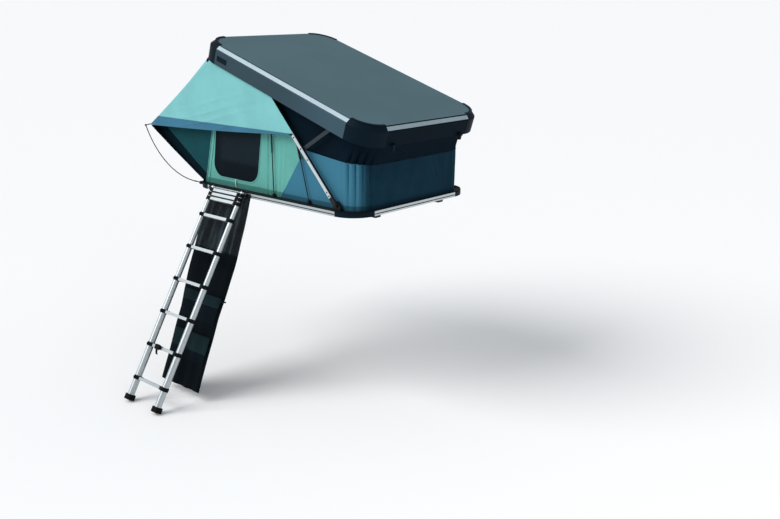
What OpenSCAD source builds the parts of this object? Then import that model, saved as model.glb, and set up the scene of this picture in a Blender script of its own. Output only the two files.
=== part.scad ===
// Hard-shell roof top tent with a tilting lid, rear awning and telescopic ladder.
// Millimetres. The origin is the centre of the mounting plane under the base,
// +X runs to the vehicle's front, +Y to its left, +Z up. The tent is drawn open.

/* [Base] */
// Length over the base edge rails
base_l = 2064; // [1900:4:2300]
// Width over the base edge rails
base_w = 1480; // [1360:4:1600]
// Plan radius of the base corner mouldings
base_corner_r = 226; // [180:2:260]
// Height of the edge rail
rail_h = 40; // [30:1:60]
// Depth of the edge rail towards the middle
rail_d = 34; // [26:1:50]
// Thickness of the rail's web and flanges
rail_t = 4; // [2.5:0.5:6]
// Height of the mounting rails under the panel
mount_rail_h = 40; // [30:1:60]
// Width of the mounting rails
mount_rail_w = 60; // [40:2:90]
// Distance between the mounting rails
mount_spacing_y = 800; // [600:10:950]
// Distance between the mounting holes along a rail
mount_spacing_x = 900; // [600:10:1200]
// Diameter of the mounting holes
mount_hole_d = 8.5; // [6.5:0.5:12.5]
// Thickness of the mattress
mattress_t = 50; // [30:2:60]

/* [Lid] */
// Overhang of the lid past the base at each end
lid_over_end = 11; // [6:1:20]
// Height of the lid's upright wall
lid_wall_h = 125; // [110:1:150]
// Width and height of the chamfer above the wall
lid_chamfer = 40; // [32:1:50]
// Thickness of the lid's wall
lid_wall_t = 8; // [5:0.5:10]
// Plan radius of the lid's corner mouldings
lid_corner_r = 236; // [190:2:270]
// Thickness of the lid's top panel
lid_panel_t = 22; // [14:1:28]
// Thickness of the lining under the top panel
lining_t = 10; // [6:1:14]
// Slope of the open lid in degrees, front end lower
lid_tilt = 17.5; // [16:0.1:19]
// Rear lower edge of the open lid, along the tent
lid_rear_x = -861; // [-880:1:-840]
// Rear lower edge of the open lid, above the mounting plane
lid_rear_z = 1224; // [1200:1:1240]
// Width of the ribbed grip strips on the chamfer
grip_w = 34; // [24:1:40]

/* [Lifting gear] */
// Arm pivot along the tent
arm_pivot_x = 788; // [775:1:800]
// Arm pivot above the base panel
arm_pivot_h = 48; // [46:1:56]
// Direction of the open arm in degrees from the front
arm_angle = 133; // [132:0.1:134]
// Height of the arm section
arm_h = 40; // [34:1:46]
// Thickness of the arm section
arm_t = 16; // [12:1:18]
// Link pin on the lid, from the lid's rear edge
link_a = 1701; // [1690:1:1710]
// Link pin on the lid, above the lid's lower edge
link_pin_h = 36; // [32:1:40]
// Thickness of the links
link_t = 8; // [6:0.5:9]
// Height of the links
link_h = 32; // [26:1:36]
// Diameter of the pivot pins
pin_d = 12; // [10:0.5:16]
// Length of the silver clamp bar on the arm
bar_l = 622; // [600:2:640]
// Outer diameter of the strut tubes
strut_d = 20; // [17:0.5:21]
// Diameter of the strut rods
strut_rod_d = 9; // [7:0.5:9.5]
// Foot of the front strut along the tent
front_foot_x = 451; // [440:1:460]
// Front strut's pin on the arm, from the arm's pivot
front_strut_r = 715; // [700:1:720]
// Foot of the rear strut along the tent
rear_foot_x = 20; // [10:1:26]
// Rear strut's pin on the arm, from the arm's pivot
rear_strut_r = 1155; // [1148:1:1160]
// Length of the rear strut tube
rear_tube_l = 330; // [310:2:340]
// Diameter of the rear strut's middle tube
mid_tube_d = 14; // [12.5:0.5:15]

/* [Fabric] */
// Thickness of the fabric solids
cloth_t = 4; // [2:0.5:6]
// Height of the front wall's upper edge
waist_z = 440; // [420:2:460]
// Height of the front wall's upper edge where the corner begins
waist_side_z = 468; // [450:2:480]
// Rise of the front wall's upper edge along the sides, per length
waist_rise = 0.1; // [0.05:0.01:0.14]
// Plan radius of the front wall's corners
wall_corner_r = 190; // [150:5:220]
// Depth of the gathers round the front corners
gather = 9; // [4:1:14]
// Number of gathers round each front corner
gather_n = 5; // [3:1:7]
// Awning tip along the tent
tip_x = -1667; // [-1690:1:-1640]
// Awning tip height
tip_z = 539; // [525:1:550]
// Height of the hem band at the awning tip
hem_tip_h = 84; // [60:2:110]
// Rear edge of the side wall at its foot
wall_rear_x = -930; // [-932:1:-915]
// Rear edge of the side wall at its top
wall_top_x = -796; // [-810:1:-785]
// Height of the side wall's rear edge
wall_top_z = 640; // [625:1:650]
// Height of the side wall's front end
wall_end_z = 618; // [605:1:625]
// Front end of the side wall's upper edge, behind the arm
wall_end_x = 290; // [275:1:300]
// Seam between the side wall and the front wall, at its foot
seam_x = 88; // [76:2:100]
// Lean of the seam towards the front
seam_run = 252; // [240:1:260]
// Height of the seam's upper end
seam_z = 545; // [535:1:550]
// Depth of the folds in the side wall
fold = 2.5; // [1:0.5:3]
// Rear upper corner of the window along the tent
window_x = -786; // [-790:1:-770]
// Width of the window at its top
window_w = 656; // [600:2:670]
// Lower edge of the window
window_z = 146; // [134:1:160]
// Upper edge of the window
window_top = 615; // [595:1:620]
// Radius of the window's lower corners
window_r = 130; // [100:2:140]

/* [Awning rods] */
// Diameter of the awning rods
rod_d = 9; // [6:0.5:12]
// Straight length outside the socket
rod_straight = 78; // [60:2:100]
// Radius of the rod's bow
rod_bow_r = 845; // [830:5:860]
// Angle of the rod's bow in degrees
rod_bow = 62; // [58:0.5:64]
// Length of the rod's hooked end
rod_hook = 84; // [70:2:90]

/* [Ladder] */
// Middle of the ladder along the tent
ladder_x = -495; // [-540:5:-440]
// Lean of the ladder from upright in degrees
ladder_lean = 30.5; // [28:0.1:34]
// Ladder length from its hinge to its feet
ladder_l = 1991; // [1985:1:2040]
// Height of the ladder hinge above the mounting plane
ladder_hinge_z = 78; // [74:1:80]
// Distance of the ladder hinge from the edge rail
ladder_out = 22; // [20:1:28]
// Distance between the tube centres
ladder_w = 394; // [360:2:420]
// Lowest rung from the feet
rung_first = 202; // [190:2:206]
// Distance between extended rungs
rung_pitch = 305; // [298:1:306]
// Distance from the extended rungs to the stacked ones
rung_head = 157; // [150:1:160]
// Distance between stacked rungs
rung_stack = 40; // [38:0.5:41]
// Diameter of the lowest tubes
tube_d = 59; // [54:0.5:62]
// Wall thickness of the tubes
tube_t = 1.4; // [1.2:0.05:1.6]
// Radial clearance between nested tubes
tube_gap = 0.35; // [0.3:0.05:0.45]
// Length of a tube inside the next one when extended
tube_lap = 25; // [18:1:30]
// Depth of the rungs
rung_d = 44; // [36:1:50]
// Height of the rungs
rung_h = 26; // [20:1:30]
// Width of the screen behind the ladder
screen_w = 534; // [500:2:560]
// Length of the screen
screen_l = 1735; // [1600:5:1740]
// Lean of the screen from upright in degrees
screen_lean = 22; // [20:0.1:23]
// Depth of the screen's folds
screen_fold = 10; // [5:1:14]

/* [Hidden] */
$fn = 64;
seat = 0.3;
run_gap = 0.05;

// Levels of the base
rail_z = mount_rail_h;
rail_top = rail_z + rail_h;
panel_z = rail_z + rail_t;
panel_t = rail_h - 2 * rail_t;
panel_top = panel_z + panel_t;
mattress_x = -20;
mattress_end = 100;
mattress_side = 30;
mattress_r = 60;
cloth_foot = rail_top + seat;

// Lid outline and levels, in the lid's own frame
lid_l = base_l + 2 * lid_over_end;
lid_w = base_w;
lid_h = lid_wall_h + lid_chamfer;
lid_ledge_z = lid_h - lid_panel_t;
ledge_t = 6;
ledge_in = lid_chamfer + 30;
lining_z = lid_ledge_z - ledge_t - lining_t;

// Lanes across the tent, measured from the middle
lane_gap = 2;
runner_l = 11;
track_t = 3;
edge_y = base_w / 2;
arm_out_y = edge_y - lid_wall_t - track_t - runner_l - lane_gap;
arm_y = arm_out_y - arm_t / 2;
link_y = arm_y - arm_t / 2 - lane_gap - link_t / 2;
strut_y = link_y - link_t / 2 - lane_gap - strut_d / 2;
wall_y = strut_y - strut_d / 2 - 8;

// Linkage in the side plane: arm pivot, link pin on the lid and link pin on the arm
function unit(a) = [cos(a), sin(a)];
function lid_point(a, h) = [lid_rear_x, lid_rear_z] + a * unit(-lid_tilt) + h * unit(90 - lid_tilt);
function arm_point(r) = [arm_pivot_x, panel_top + arm_pivot_h] + r * unit(arm_angle);
arm_pivot = arm_point(0);
link_lid = lid_point(link_a, link_pin_h);
link_reach = link_lid - arm_pivot;
link_closed = link_a - lid_l / 2 - arm_pivot_x;
link_r = (link_reach * link_reach - link_closed * link_closed)
    / (2 * (unit(arm_angle) * link_reach + link_closed));
link_arm = arm_point(link_r);
front_foot = [front_foot_x, panel_top + 24];
rear_foot = [rear_foot_x, panel_top + 19];
foot_r = 11;
// Struts: open and closed lengths, and how much rod shows when open
function closed_point(r) = arm_pivot - [r, 0];
front_top = arm_point(front_strut_r);
rear_top = arm_point(rear_strut_r);
strut_end = 14;
strut_lap = 16;
front_open = norm(front_top - front_foot);
front_closed = norm(closed_point(front_strut_r) - front_foot);
front_rod_l = front_closed - strut_end;
front_tube_l = front_open - front_rod_l + strut_lap;
rear_open = norm(rear_top - rear_foot);
rear_closed = norm(closed_point(rear_strut_r) - rear_foot);
rear_rod_l = rear_closed - strut_end;
mid_from = rear_rod_l - strut_lap;
mid_tube_l = rear_open - rear_tube_l + strut_lap - mid_from;
// The runner ends the arm where the arm crosses the line of the lid's link pins
arm_lift = unit(arm_angle) * unit(90 - lid_tilt);
arm_l = (link_pin_h - (arm_pivot - [lid_rear_x, lid_rear_z]) * unit(90 - lid_tilt)) / arm_lift;
runner_a = (arm_point(arm_l) - [lid_rear_x, lid_rear_z]) * unit(-lid_tilt);
runner_closed_a = arm_pivot[0] - arm_l + lid_l / 2;
runner_d = 20;
runner_play = 14;

// Ladder sections, counted from the lowest, each tube one clearance smaller than the one below
tube_step = tube_t + tube_gap;
section_n = 8;
rung_top = rung_first + 5 * rung_pitch;
head_first = rung_top + rung_head;
function tube_r(i) = tube_d / 2 - (i - 1) * tube_step;
function collar_at(i) = i < 6 ? rung_first + i * rung_pitch : head_first + (i - 6) * rung_stack;
function tube_foot(i) = i == 1 ? foot_h : collar_at(i) - rung_pitch - tube_lap;
collar_h = 34;
collar_t = 5;
foot_h = 12;
strap_w = 30;

// Corner sockets of the awning rods, seal and brackets on the base
socket_w = 26;
socket_bore = 18;
socket_out = 40;
rod_side = 160;
rod_y = -(base_w / 2 - base_corner_r + rod_side);
rod_z = rail_z + rail_h / 2 + 8;
// The socket's rear end stands off the moulding's round face
socket_x = -(base_l / 2 - base_corner_r
    + sqrt(pow(base_corner_r, 2) - pow(rod_side + socket_w / 2, 2))) - socket_out;
rod_in = socket_bore - 2;
rod_tip_turn = 77;
ferrule_d = rod_d + 3;
ferrule_l = 30;
knuckle_d = 2 * rod_d;
seal_w = 10;
seal_in = 2;
lid_closed_z = panel_top + arm_pivot_h - link_pin_h;
seal_h = lid_closed_z - rail_top - 1;
bracket_t = 22;
bracket_l = 80;
bracket_r = 30;
bracket_y = link_y + link_t / 2 - bracket_t;
foot_ear_t = 4;
foot_eye_t = 10;
foot_ear_y = foot_eye_t / 2 + seat + foot_ear_t;

// Ladder hinge, feet, treads and strap
ladder_y = -(edge_y + ladder_out);
hinge_d = 14;
hinge_over = 4;
ear_t = 8;
ear_plate = 50;
ear_x = ladder_w / 2 + tube_d / 2 + collar_t + 4;
hinge_rod_l = 2 * (ear_x + ear_t);
boss_l = 14;
groove = 3;
foot_w = 64;
foot_d = 64;
foot_over = 36;
strap_t = 3;
strap_x = -70;
screen_cols = 24;
screen_rows = 14;
screen_folds = 3.5;
screen_y = -(edge_y - screen_fold - cloth_t);

// Clamp bars and their screws on the arms, gear inside the lid and its latches
bar_w = 30;
bar_t = 3;
bar_from = 75;
screw_d = 6;
screw_head_d = 12;
screw_head_h = 2.5;
screws_top = [24, 140, 250];
screws_foot = [15, 50];
screw_r = concat([for (s = screws_top) bar_from + bar_l - s], [for (s = screws_foot) bar_from + s]);
strut_gap = 0.5;
track_end = 30;
hanger_t = 12;
hanger_l = 50;
hanger_y = link_y - link_t / 2 - lane_gap - hanger_t;
hanger_foot = 14;
rib_n = 6;
grip_t = 2;
latch_plate = [126, 42, 3];
latch_plate_a = 265;
latch_plate_h = 42;
latch_in = 320;
latch_y = lid_w / 2 - latch_in;
latch_w = 26;
latch_ear = 6;
latch_out = 16;
latch_h = 14;
latch_pin_d = 8;
latch_eye_d = 20;
latch_drop = 46;

// Front wall and gaiter: points along the plan and up the cloth
side_n = 5;
arc_n = 4 * gather_n;
front_n = 3;
ring_n = side_n + arc_n + front_n;
wall_front_x = base_l / 2 - 27;
wall_rows = 6;
gaiter_in = 24;
gaiter_front = lid_point(lid_l - lid_wall_t - gaiter_in, 0);
gaiter_rear_r = 1080;
gaiter_rows = 4;

// Side walls, windows and gussets
fold_x = window_x + window_w + 30;
fold_pitch = 62;
side_cols = 60;
window_corner = 20;
window_lean = 15;
gusset_foot = 75;
gusset_drop = 70;
gusset_tip = 180;

// Fly sheets, their hems and the awning
fly_out_y = arm_out_y + seat + cloth_t;
// The fly's lower edge crosses the arm just above the clamp bar
fly_foot_r = bar_from + bar_l;
fly_foot = arm_edge(fly_foot_r, arm_h / 2);
hem_end = arm_edge(fly_foot_r + 18, -arm_h / 2);
hem_end_top = arm_edge(fly_foot_r + 33, -arm_h / 2);
fly_top_r = (-seat - (arm_edge(0, arm_h / 2) - [lid_rear_x, lid_rear_z]) * unit(90 - lid_tilt)) / arm_lift;
fly_rear_a = 150;
fly_rear = lid_point(fly_rear_a, -seat - 8);
hem_tip_top = blend([tip_x, tip_z], fly_rear, 1.9 * hem_tip_h / norm(fly_rear - [tip_x, tip_z]));
slope_cols = 16;
slope_rows = 5;
slope_sag = 14;
panel_in = 30;

// Rounded plate with true round corners, centred
module plate(l, w, r, h) {
    linear_extrude(h) {
        square([l, w - 2 * r], center = true);
        square([l - 2 * r, w], center = true);
        for (x = [-1, 1], y = [-1, 1]) translate([x * (l / 2 - r), y * (w / 2 - r)]) circle(r);
    }
}

// Both sides of the tent
module both_sides() {
    children();
    mirror([0, 1, 0]) children();
}

// Frame of the open lid: X from its rear lower edge to the front, Z square to its lower edge
module in_lid() {
    translate([lid_rear_x, 0, lid_rear_z]) rotate([0, lid_tilt, 0]) children();
}

// Rounded bar lying in the side plane between two points, thickness t centred on y
module side_bar(from, to, h, y, t) {
    v = to - from;
    translate([from[0], y, from[1]]) rotate([0, -atan2(v[1], v[0]), 0]) rotate([90, 0, 0])
        linear_extrude(t, center = true) {
            translate([0, -h / 2]) square([norm(v), h]);
            circle(h / 2);
            translate([norm(v), 0]) circle(h / 2);
        }
}

// Cylinder across the tent at a point of the side plane, from y0 to y1
module cross_pin(p, d, y0, y1) {
    translate([p[0], y0, p[1]]) rotate([-90, 0, 0]) cylinder(d = d, h = y1 - y0);
}

// Closed thin solid between a grid of points and a second grid behind it
module skin(front, back) {
    rows = len(front);
    cols = len(front[0]);
    n = rows * cols;
    function id(i, j) = i * cols + j;
    points = concat([for (r = front, p = r) p], [for (r = back, p = r) p]);
    faces = concat(
        [for (i = [0:rows - 2], j = [0:cols - 2]) each [[id(i, j), id(i + 1, j), id(i + 1, j + 1)],
            [id(i, j), id(i + 1, j + 1), id(i, j + 1)]]],
        [for (i = [0:rows - 2], j = [0:cols - 2]) each [
            [n + id(i, j), n + id(i + 1, j + 1), n + id(i + 1, j)],
            [n + id(i, j), n + id(i, j + 1), n + id(i + 1, j + 1)]]],
        [for (j = [0:cols - 2], e = [0, rows - 1]) each let (a = id(e, j), b = id(e, j + 1))
            e == 0 ? [[a, b, n + b], [a, n + b, n + a]] : [[b, a, n + a], [b, n + a, n + b]]],
        [for (i = [0:rows - 2], e = [0, cols - 1]) each let (a = id(i, e), b = id(i + 1, e))
            e == 0 ? [[b, a, n + a], [b, n + a, n + b]] : [[a, b, n + b], [a, n + b, n + a]]]);
    polyhedron(points, faces);
}

// Section of the base edge rail, outer face at zero, open towards the panel
module rail_section() {
    difference() {
        square([rail_d, rail_h]);
        translate([rail_t, rail_t]) square([rail_d, panel_t]);
    }
}

module base_panel() {
    color("dimgray") translate([0, 0, panel_z])
        plate(base_l - 2 * rail_t, base_w - 2 * rail_t, base_corner_r - rail_t, panel_t);
}

module base_side_rails() {
    color("silver") both_sides() translate([-(base_l / 2 - base_corner_r), -edge_y, rail_z])
        rotate([90, 0, 90]) linear_extrude(base_l - 2 * base_corner_r) rail_section();
}

module base_end_rails() {
    color("silver") for (a = [0, 180]) rotate(a)
        translate([-base_l / 2, base_w / 2 - base_corner_r, rail_z])
            rotate([90, 0, 0]) linear_extrude(base_w - 2 * base_corner_r) rail_section();
}

// Corner mouldings; the rear two carry the sockets of the awning rods
module base_corners() {
    color([0.06, 0.06, 0.07]) {
        for (x = [-1, 1], y = [-1, 1])
            translate([x * (base_l / 2 - base_corner_r), y * (base_w / 2 - base_corner_r), rail_z])
                rotate([0, 0, x > 0 ? (y > 0 ? 0 : -90) : (y > 0 ? 90 : 180)])
                    rotate_extrude(angle = 90) translate([base_corner_r, 0]) mirror([1, 0]) rail_section();
        both_sides() difference() {
            translate([socket_x, rod_y - socket_w / 2, rod_z - socket_w / 2])
                cube([socket_out + rail_d, socket_w, rail_top - rod_z + socket_w / 2]);
            translate([socket_x - 1, rod_y, rod_z]) rotate([0, 90, 0])
                cylinder(d = rod_d + 2 * run_gap, h = socket_bore + 1);
            translate([-(base_l / 2 - base_corner_r), -(base_w / 2 - base_corner_r), 0])
                cylinder(r = base_corner_r - rail_t, h = 2 * rail_top);
        }
    }
}

// Rubber seal on the rails, just under the closed lid's edge
module base_seal() {
    color([0.05, 0.05, 0.05]) translate([0, 0, rail_top]) difference() {
        plate(base_l - 2 * seal_in, base_w - 2 * seal_in, base_corner_r - seal_in, seal_h);
        translate([0, 0, -1]) plate(base_l - 2 * (seal_in + seal_w), base_w - 2 * (seal_in + seal_w),
            base_corner_r - seal_in - seal_w, seal_h + 2);
    }
}

module mounting_rails() {
    color([0.1, 0.1, 0.11]) both_sides() difference() {
        translate([-(base_l - 4 * rail_d) / 2, mount_spacing_y / 2 - mount_rail_w / 2, 0])
            cube([base_l - 4 * rail_d, mount_rail_w, panel_z]);
        for (x = [-1, 1]) translate([x * mount_spacing_x / 2, mount_spacing_y / 2, -1])
            cylinder(d = mount_hole_d, h = panel_z + 1);
    }
}

module mattress() {
    color("slategray") translate([mattress_x, 0, panel_top])
        plate(base_l - 2 * mattress_end, 2 * (wall_y - mattress_side), mattress_r, mattress_t);
}

// Arm brackets stand on the base panel beside the arms
module arm_brackets() {
    color([0.08, 0.08, 0.09]) both_sides() difference() {
        union() {
            translate([arm_pivot[0] - bracket_l / 2, bracket_y, panel_top])
                cube([bracket_l, bracket_t, arm_pivot_h]);
            cross_pin(arm_pivot, 2 * bracket_r, bracket_y, bracket_y + bracket_t);
        }
        cross_pin(arm_pivot, pin_d, bracket_y - 1, bracket_y + bracket_t + 1);
    }
}

// Arm pivot pins and strut foot pins
module base_pins() {
    color("gainsboro") both_sides() {
        cross_pin(arm_pivot, pin_d, bracket_y, arm_out_y);
        cross_pin(front_foot, strut_rod_d - 2, strut_y - foot_ear_y, strut_y + foot_ear_y);
        cross_pin(rear_foot, strut_rod_d - 2, strut_y - foot_ear_y, strut_y + foot_ear_y);
    }
}

// Two ears on the base panel carry each strut's foot
module strut_foot(p, y) {
    difference() {
        for (s = [-1, 1]) translate([p[0], y + s * (foot_ear_y - foot_ear_t / 2), 0]) union() {
            translate([-foot_r, -foot_ear_t / 2, panel_top]) cube([2 * foot_r, foot_ear_t, p[1] - panel_top]);
            cross_pin([0, p[1]], 2 * foot_r, -foot_ear_t / 2, foot_ear_t / 2);
        }
        cross_pin(p, strut_rod_d - 2, y - 2 * foot_r, y + 2 * foot_r);
    }
}

module strut_feet() {
    color([0.08, 0.08, 0.09]) both_sides() {
        strut_foot(front_foot, strut_y);
        strut_foot(rear_foot, strut_y);
    }
}

// Ears on the rail's outer face for the ladder's hinge rod
module ladder_bracket() {
    color([0.09, 0.09, 0.1]) difference() {
        for (s = [-1, 1]) union() {
            translate([ladder_x + s * (ear_x + ear_t / 2) - ear_t / 2, ladder_y, rail_z])
                cube([ear_t, ladder_out, rail_h - 6]);
            translate([ladder_x + s * (ear_x + ear_t / 2) - ear_t / 2, ladder_y, ladder_hinge_z])
                rotate([0, 90, 0]) cylinder(d = rail_h - 10, h = ear_t);
            translate([ladder_x + s * (ear_x + ear_plate / 2) - ear_plate / 2, -edge_y - 4, rail_z])
                cube([ear_plate, 4, rail_h - 6]);
        }
        translate([ladder_x - ladder_w, ladder_y, ladder_hinge_z])
            rotate([0, 90, 0]) cylinder(d = hinge_d + 2 * run_gap, h = 2 * ladder_w);
    }
}

// Plan of the front wall from a side seam round the corner to the middle of the front
function half_ring(x0, w, fx, r, g) = concat(
    [for (i = [0:side_n]) [x0 + (fx - r - x0) * i / side_n, -w]],
    [for (k = [1:arc_n]) let (a = -90 + 90 * k / arc_n, q = r + g * sin(360 * gather_n * k / arc_n + 20))
        [fx - r + q * cos(a), -w + r + q * sin(a)]],
    [for (j = [1:front_n]) [fx, -w + r + (w - r) * j / front_n]]);
function mirrored(half) = concat(half,
    [for (i = [len(half) - 2:-1:0]) [half[i][0], -half[i][1], half[i][2]]]);
function blend(a, b, t) = a + (b - a) * t;
function seam_at(z) = seam_x + seam_run * (z - cloth_foot) / (seam_z - cloth_foot) + seat;
// Upper edge of the front wall, by place along the half ring
function waist_at(i) = i <= side_n
    ? waist_side_z + waist_rise * (1 - i / side_n) * (wall_front_x - wall_corner_r - seam_at(waist_side_z))
    : blend(waist_side_z, waist_z, min(1, (i - side_n) / arc_n));
function wall_row(v, t) = let (
        z0 = cloth_foot,
        h = half_ring(seam_at(blend(z0, waist_at(0), v)), wall_y - t, wall_front_x - t,
            wall_corner_r - t, gather * (0.25 + 0.75 * v)))
    mirrored([for (i = [0:ring_n]) [h[i][0], h[i][1], blend(z0, waist_at(i), v)]]);
module front_wall() {
    color([0.10, 0.24, 0.33]) skin([for (k = [0:wall_rows]) wall_row(k / wall_rows, 0)],
        [for (k = [0:wall_rows]) wall_row(k / wall_rows, cloth_t)]);
}

// Dark gaiter from the front wall's upper edge out to the lid
function lid_edge_z(x) = lid_rear_z - (x - lid_rear_x) * tan(lid_tilt);
function gaiter_row(v, t) = let (
        x0 = blend(seam_at(waist_at(0)), arm_point(gaiter_rear_r)[0], v),
        fx = blend(wall_front_x, gaiter_front[0], v) - t,
        h = half_ring(x0, wall_y - cloth_t - seat - t, fx, wall_corner_r - t, gather * (1 - v)))
    mirrored([for (i = [0:ring_n]) [h[i][0], h[i][1],
        blend(waist_at(i) + seat, lid_edge_z(h[i][0]) + 6, v)]]);
module gaiter() {
    color([0.03, 0.05, 0.06]) skin([for (k = [0:gaiter_rows]) gaiter_row(k / gaiter_rows, 0)],
        [for (k = [0:gaiter_rows]) gaiter_row(k / gaiter_rows, cloth_t)]);
}

// Side walls with slack folds between the window and the seam
function fold_at(x) = x < fold_x ? 0 : fold * (1 - cos(360 * (x - fold_x) / fold_pitch));
// Front edge of the side wall: up the seam, then back along the arm
function wall_end_at(z) = z < seam_z ? seam_at(z) - seat
    : blend(seam_x + seam_run, wall_end_x, (z - seam_z) / (wall_end_z - seam_z));
function side_point(u, v, t) = let (
        z = blend(cloth_foot, blend(wall_top_z, wall_end_z, u), v),
        x = blend(blend(wall_rear_x, wall_top_x, v), wall_end_at(blend(cloth_foot, wall_end_z, v)), u))
    [x, -(wall_y + fold_at(x) - t), z];
module side_walls() {
    color([0.36, 0.66, 0.60]) both_sides()
        skin([for (v = [0:0.125:1]) [for (i = [0:side_cols]) side_point(i / side_cols, v, 0)]],
            [for (v = [0:0.125:1]) [for (i = [0:side_cols]) side_point(i / side_cols, v, cloth_t)]]);
}

// Mesh windows on the outer face of the side walls
module windows() {
    color([0.04, 0.05, 0.06]) both_sides() translate([0, -wall_y - seat, 0]) rotate([90, 0, 0])
        linear_extrude(cloth_t / 2) hull() {
            translate([window_x + window_r - window_lean, window_z + window_r]) circle(window_r);
            translate([window_x + window_w - window_r - 3 * window_lean, window_z + window_r])
                circle(window_r);
            translate([window_x + window_corner, window_top - window_corner]) circle(window_corner);
            translate([window_x + window_w - window_corner, window_top - window_corner])
                circle(window_corner);
        }
}

// Panel in the side plane, its outer face at y0, drawn as points in X and Z
module side_panel(points, y0) {
    both_sides() translate([0, -y0, 0]) rotate([90, 0, 0]) mirror([0, 0, 1])
        linear_extrude(cloth_t) polygon(points);
}

// Dark gussets between the side walls and the awning
module gussets() {
    z1 = wall_top_z - gusset_drop;
    z0 = cloth_foot + gusset_foot;
    rear0 = blend(wall_rear_x, wall_top_x, gusset_foot / (wall_top_z - cloth_foot)) - 3 * seat;
    rear1 = blend(wall_rear_x, wall_top_x, (z1 - cloth_foot) / (wall_top_z - cloth_foot)) - 3 * seat;
    color([0.09, 0.27, 0.29])
        side_panel([[tip_x + gusset_tip, tip_z - 12], [rear0, z0], [rear1, z1]], wall_y);
}

// Points along the front edge of the arm
function arm_edge(r, off) = arm_point(r) + off * unit(arm_angle - 90);
module fly_sides() {
    lift = [0, 2 * seat];
    color([0.55, 0.82, 0.80]) side_panel([hem_tip_top + lift, fly_rear, lid_point(lid_corner_r, -seat - 2),
        arm_edge(fly_top_r, arm_h / 2), fly_foot + lift, hem_end_top + lift], fly_out_y);
}

module fly_hems() {
    color([0.29, 0.49, 0.59]) side_panel([[tip_x, tip_z], hem_tip_top, hem_end_top, hem_end], fly_out_y);
}

// Rear slope of the awning from the lid's rear edge to the awning tips
function slope_y(i) = (fly_out_y - cloth_t - 2 * seat) * (2 * i / slope_cols - 1);
// Distance of the middle of the lid's rear wall from its rear edge, at a place across the lid
function rear_wall_a(y) = let (c = lid_corner_r, d = max(0, abs(y) - lid_w / 2 + c))
    c - sqrt(pow(c - lid_wall_t / 2, 2) - pow(min(d, c - lid_wall_t), 2));
function slope_point(i, v, t) = let (y = slope_y(i), top = lid_point(rear_wall_a(y), -seat - t),
        sag = slope_sag * sin(180 * v) * cos(90 * y / fly_out_y))
    [blend(tip_x, top[0], v) + t * 0.6, y, blend(tip_z + 1, top[1], v) - sag - t * 0.8 * (1 - v)];
module awning() {
    color([0.50, 0.78, 0.78])
        skin([for (k = [0:slope_rows]) [for (i = [slope_cols:-1:0]) slope_point(i, k / slope_rows, 0)]],
            [for (k = [0:slope_rows]) [for (i = [slope_cols:-1:0]) slope_point(i, k / slope_rows, cloth_t)]]);
}

// Rear panel from the base's rear edge up to the awning tips
function rear_edge_x(y) = let (c = base_corner_r, d = max(0, abs(y) - base_w / 2 + c))
    -(base_l / 2 - c + sqrt(pow(c - panel_in, 2) - pow(min(d, c - panel_in - 20), 2)));
function door_point(i, v, t) = let (y = slope_y(i) * blend(0.93, 1, v), sag = slope_sag * sin(180 * v))
    [blend(rear_edge_x(y), tip_x + 8, v) + t * 0.5, y, blend(cloth_foot, tip_z - 10, v) - sag + t * v];
module rear_panel() {
    color([0.03, 0.04, 0.05])
        skin([for (k = [0:slope_rows]) [for (i = [0:slope_cols]) door_point(i, k / slope_rows, 0)]],
            [for (k = [0:slope_rows]) [for (i = [0:slope_cols]) door_point(i, k / slope_rows, 2 * cloth_t)]]);
}

// Section of the lid's edge: wall, chamfer and the ledge that carries the top panel
module lid_section() {
    c = lid_chamfer;
    t = lid_wall_t;
    polygon([[0, 0], [0, lid_wall_h], [c, lid_h], [c, lid_ledge_z], [ledge_in, lid_ledge_z],
        [ledge_in, lid_ledge_z - ledge_t], [c + t / 2, lid_ledge_z - ledge_t],
        [t, lid_ledge_z - ledge_t - c + t / 2], [t, 0]]);
}

module lid_panel() {
    color([0.30, 0.38, 0.41]) in_lid() translate([lid_l / 2, 0, lid_ledge_z])
        plate(lid_l - 2 * lid_chamfer, lid_w - 2 * lid_chamfer, lid_corner_r - lid_chamfer, lid_panel_t);
}

// Runs a section along both long sides of the lid
module lid_sides() {
    both_sides() translate([lid_corner_r, -lid_w / 2, 0]) rotate([90, 0, 90])
        linear_extrude(lid_l - 2 * lid_corner_r) children();
}

// Runs a section along both ends of the lid
module lid_ends() {
    for (s = [0, 1]) translate([s * lid_l, lid_w / 2 - lid_corner_r, 0]) mirror([s, 0, 0])
        rotate([90, 0, 0]) linear_extrude(lid_w - 2 * lid_corner_r) children();
}

module lid_side_rails() {
    color([0.24, 0.29, 0.31]) in_lid() lid_sides() lid_section();
}

module lid_end_rails() {
    color([0.10, 0.12, 0.13]) in_lid() lid_ends() lid_section();
}

module lid_corners() {
    color([0.05, 0.06, 0.06]) in_lid() for (x = [0, 1], y = [-1, 1])
        translate([x == 0 ? lid_corner_r : lid_l - lid_corner_r, y * (lid_w / 2 - lid_corner_r), 0])
            rotate([0, 0, x == 1 ? (y > 0 ? 0 : -90) : (y > 0 ? 90 : 180)])
                rotate_extrude(angle = 90) translate([lid_corner_r, 0]) mirror([1, 0]) lid_section();
}

// Ribbed strip lying on the chamfer
module grip_section() {
    rib_pitch = grip_w / rib_n;
    translate([lid_chamfer / 2, lid_wall_h + lid_chamfer / 2]) rotate(45) translate([-grip_w / 2, 0]) {
        square([grip_w, grip_t]);
        for (i = [0:rib_n - 1]) translate([rib_pitch * (i + 0.2), grip_t])
            square([rib_pitch * 0.6, grip_t / 2]);
    }
}

module lid_grips() {
    color("silver") in_lid() {
        lid_sides() grip_section();
        lid_ends() grip_section();
    }
}

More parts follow.
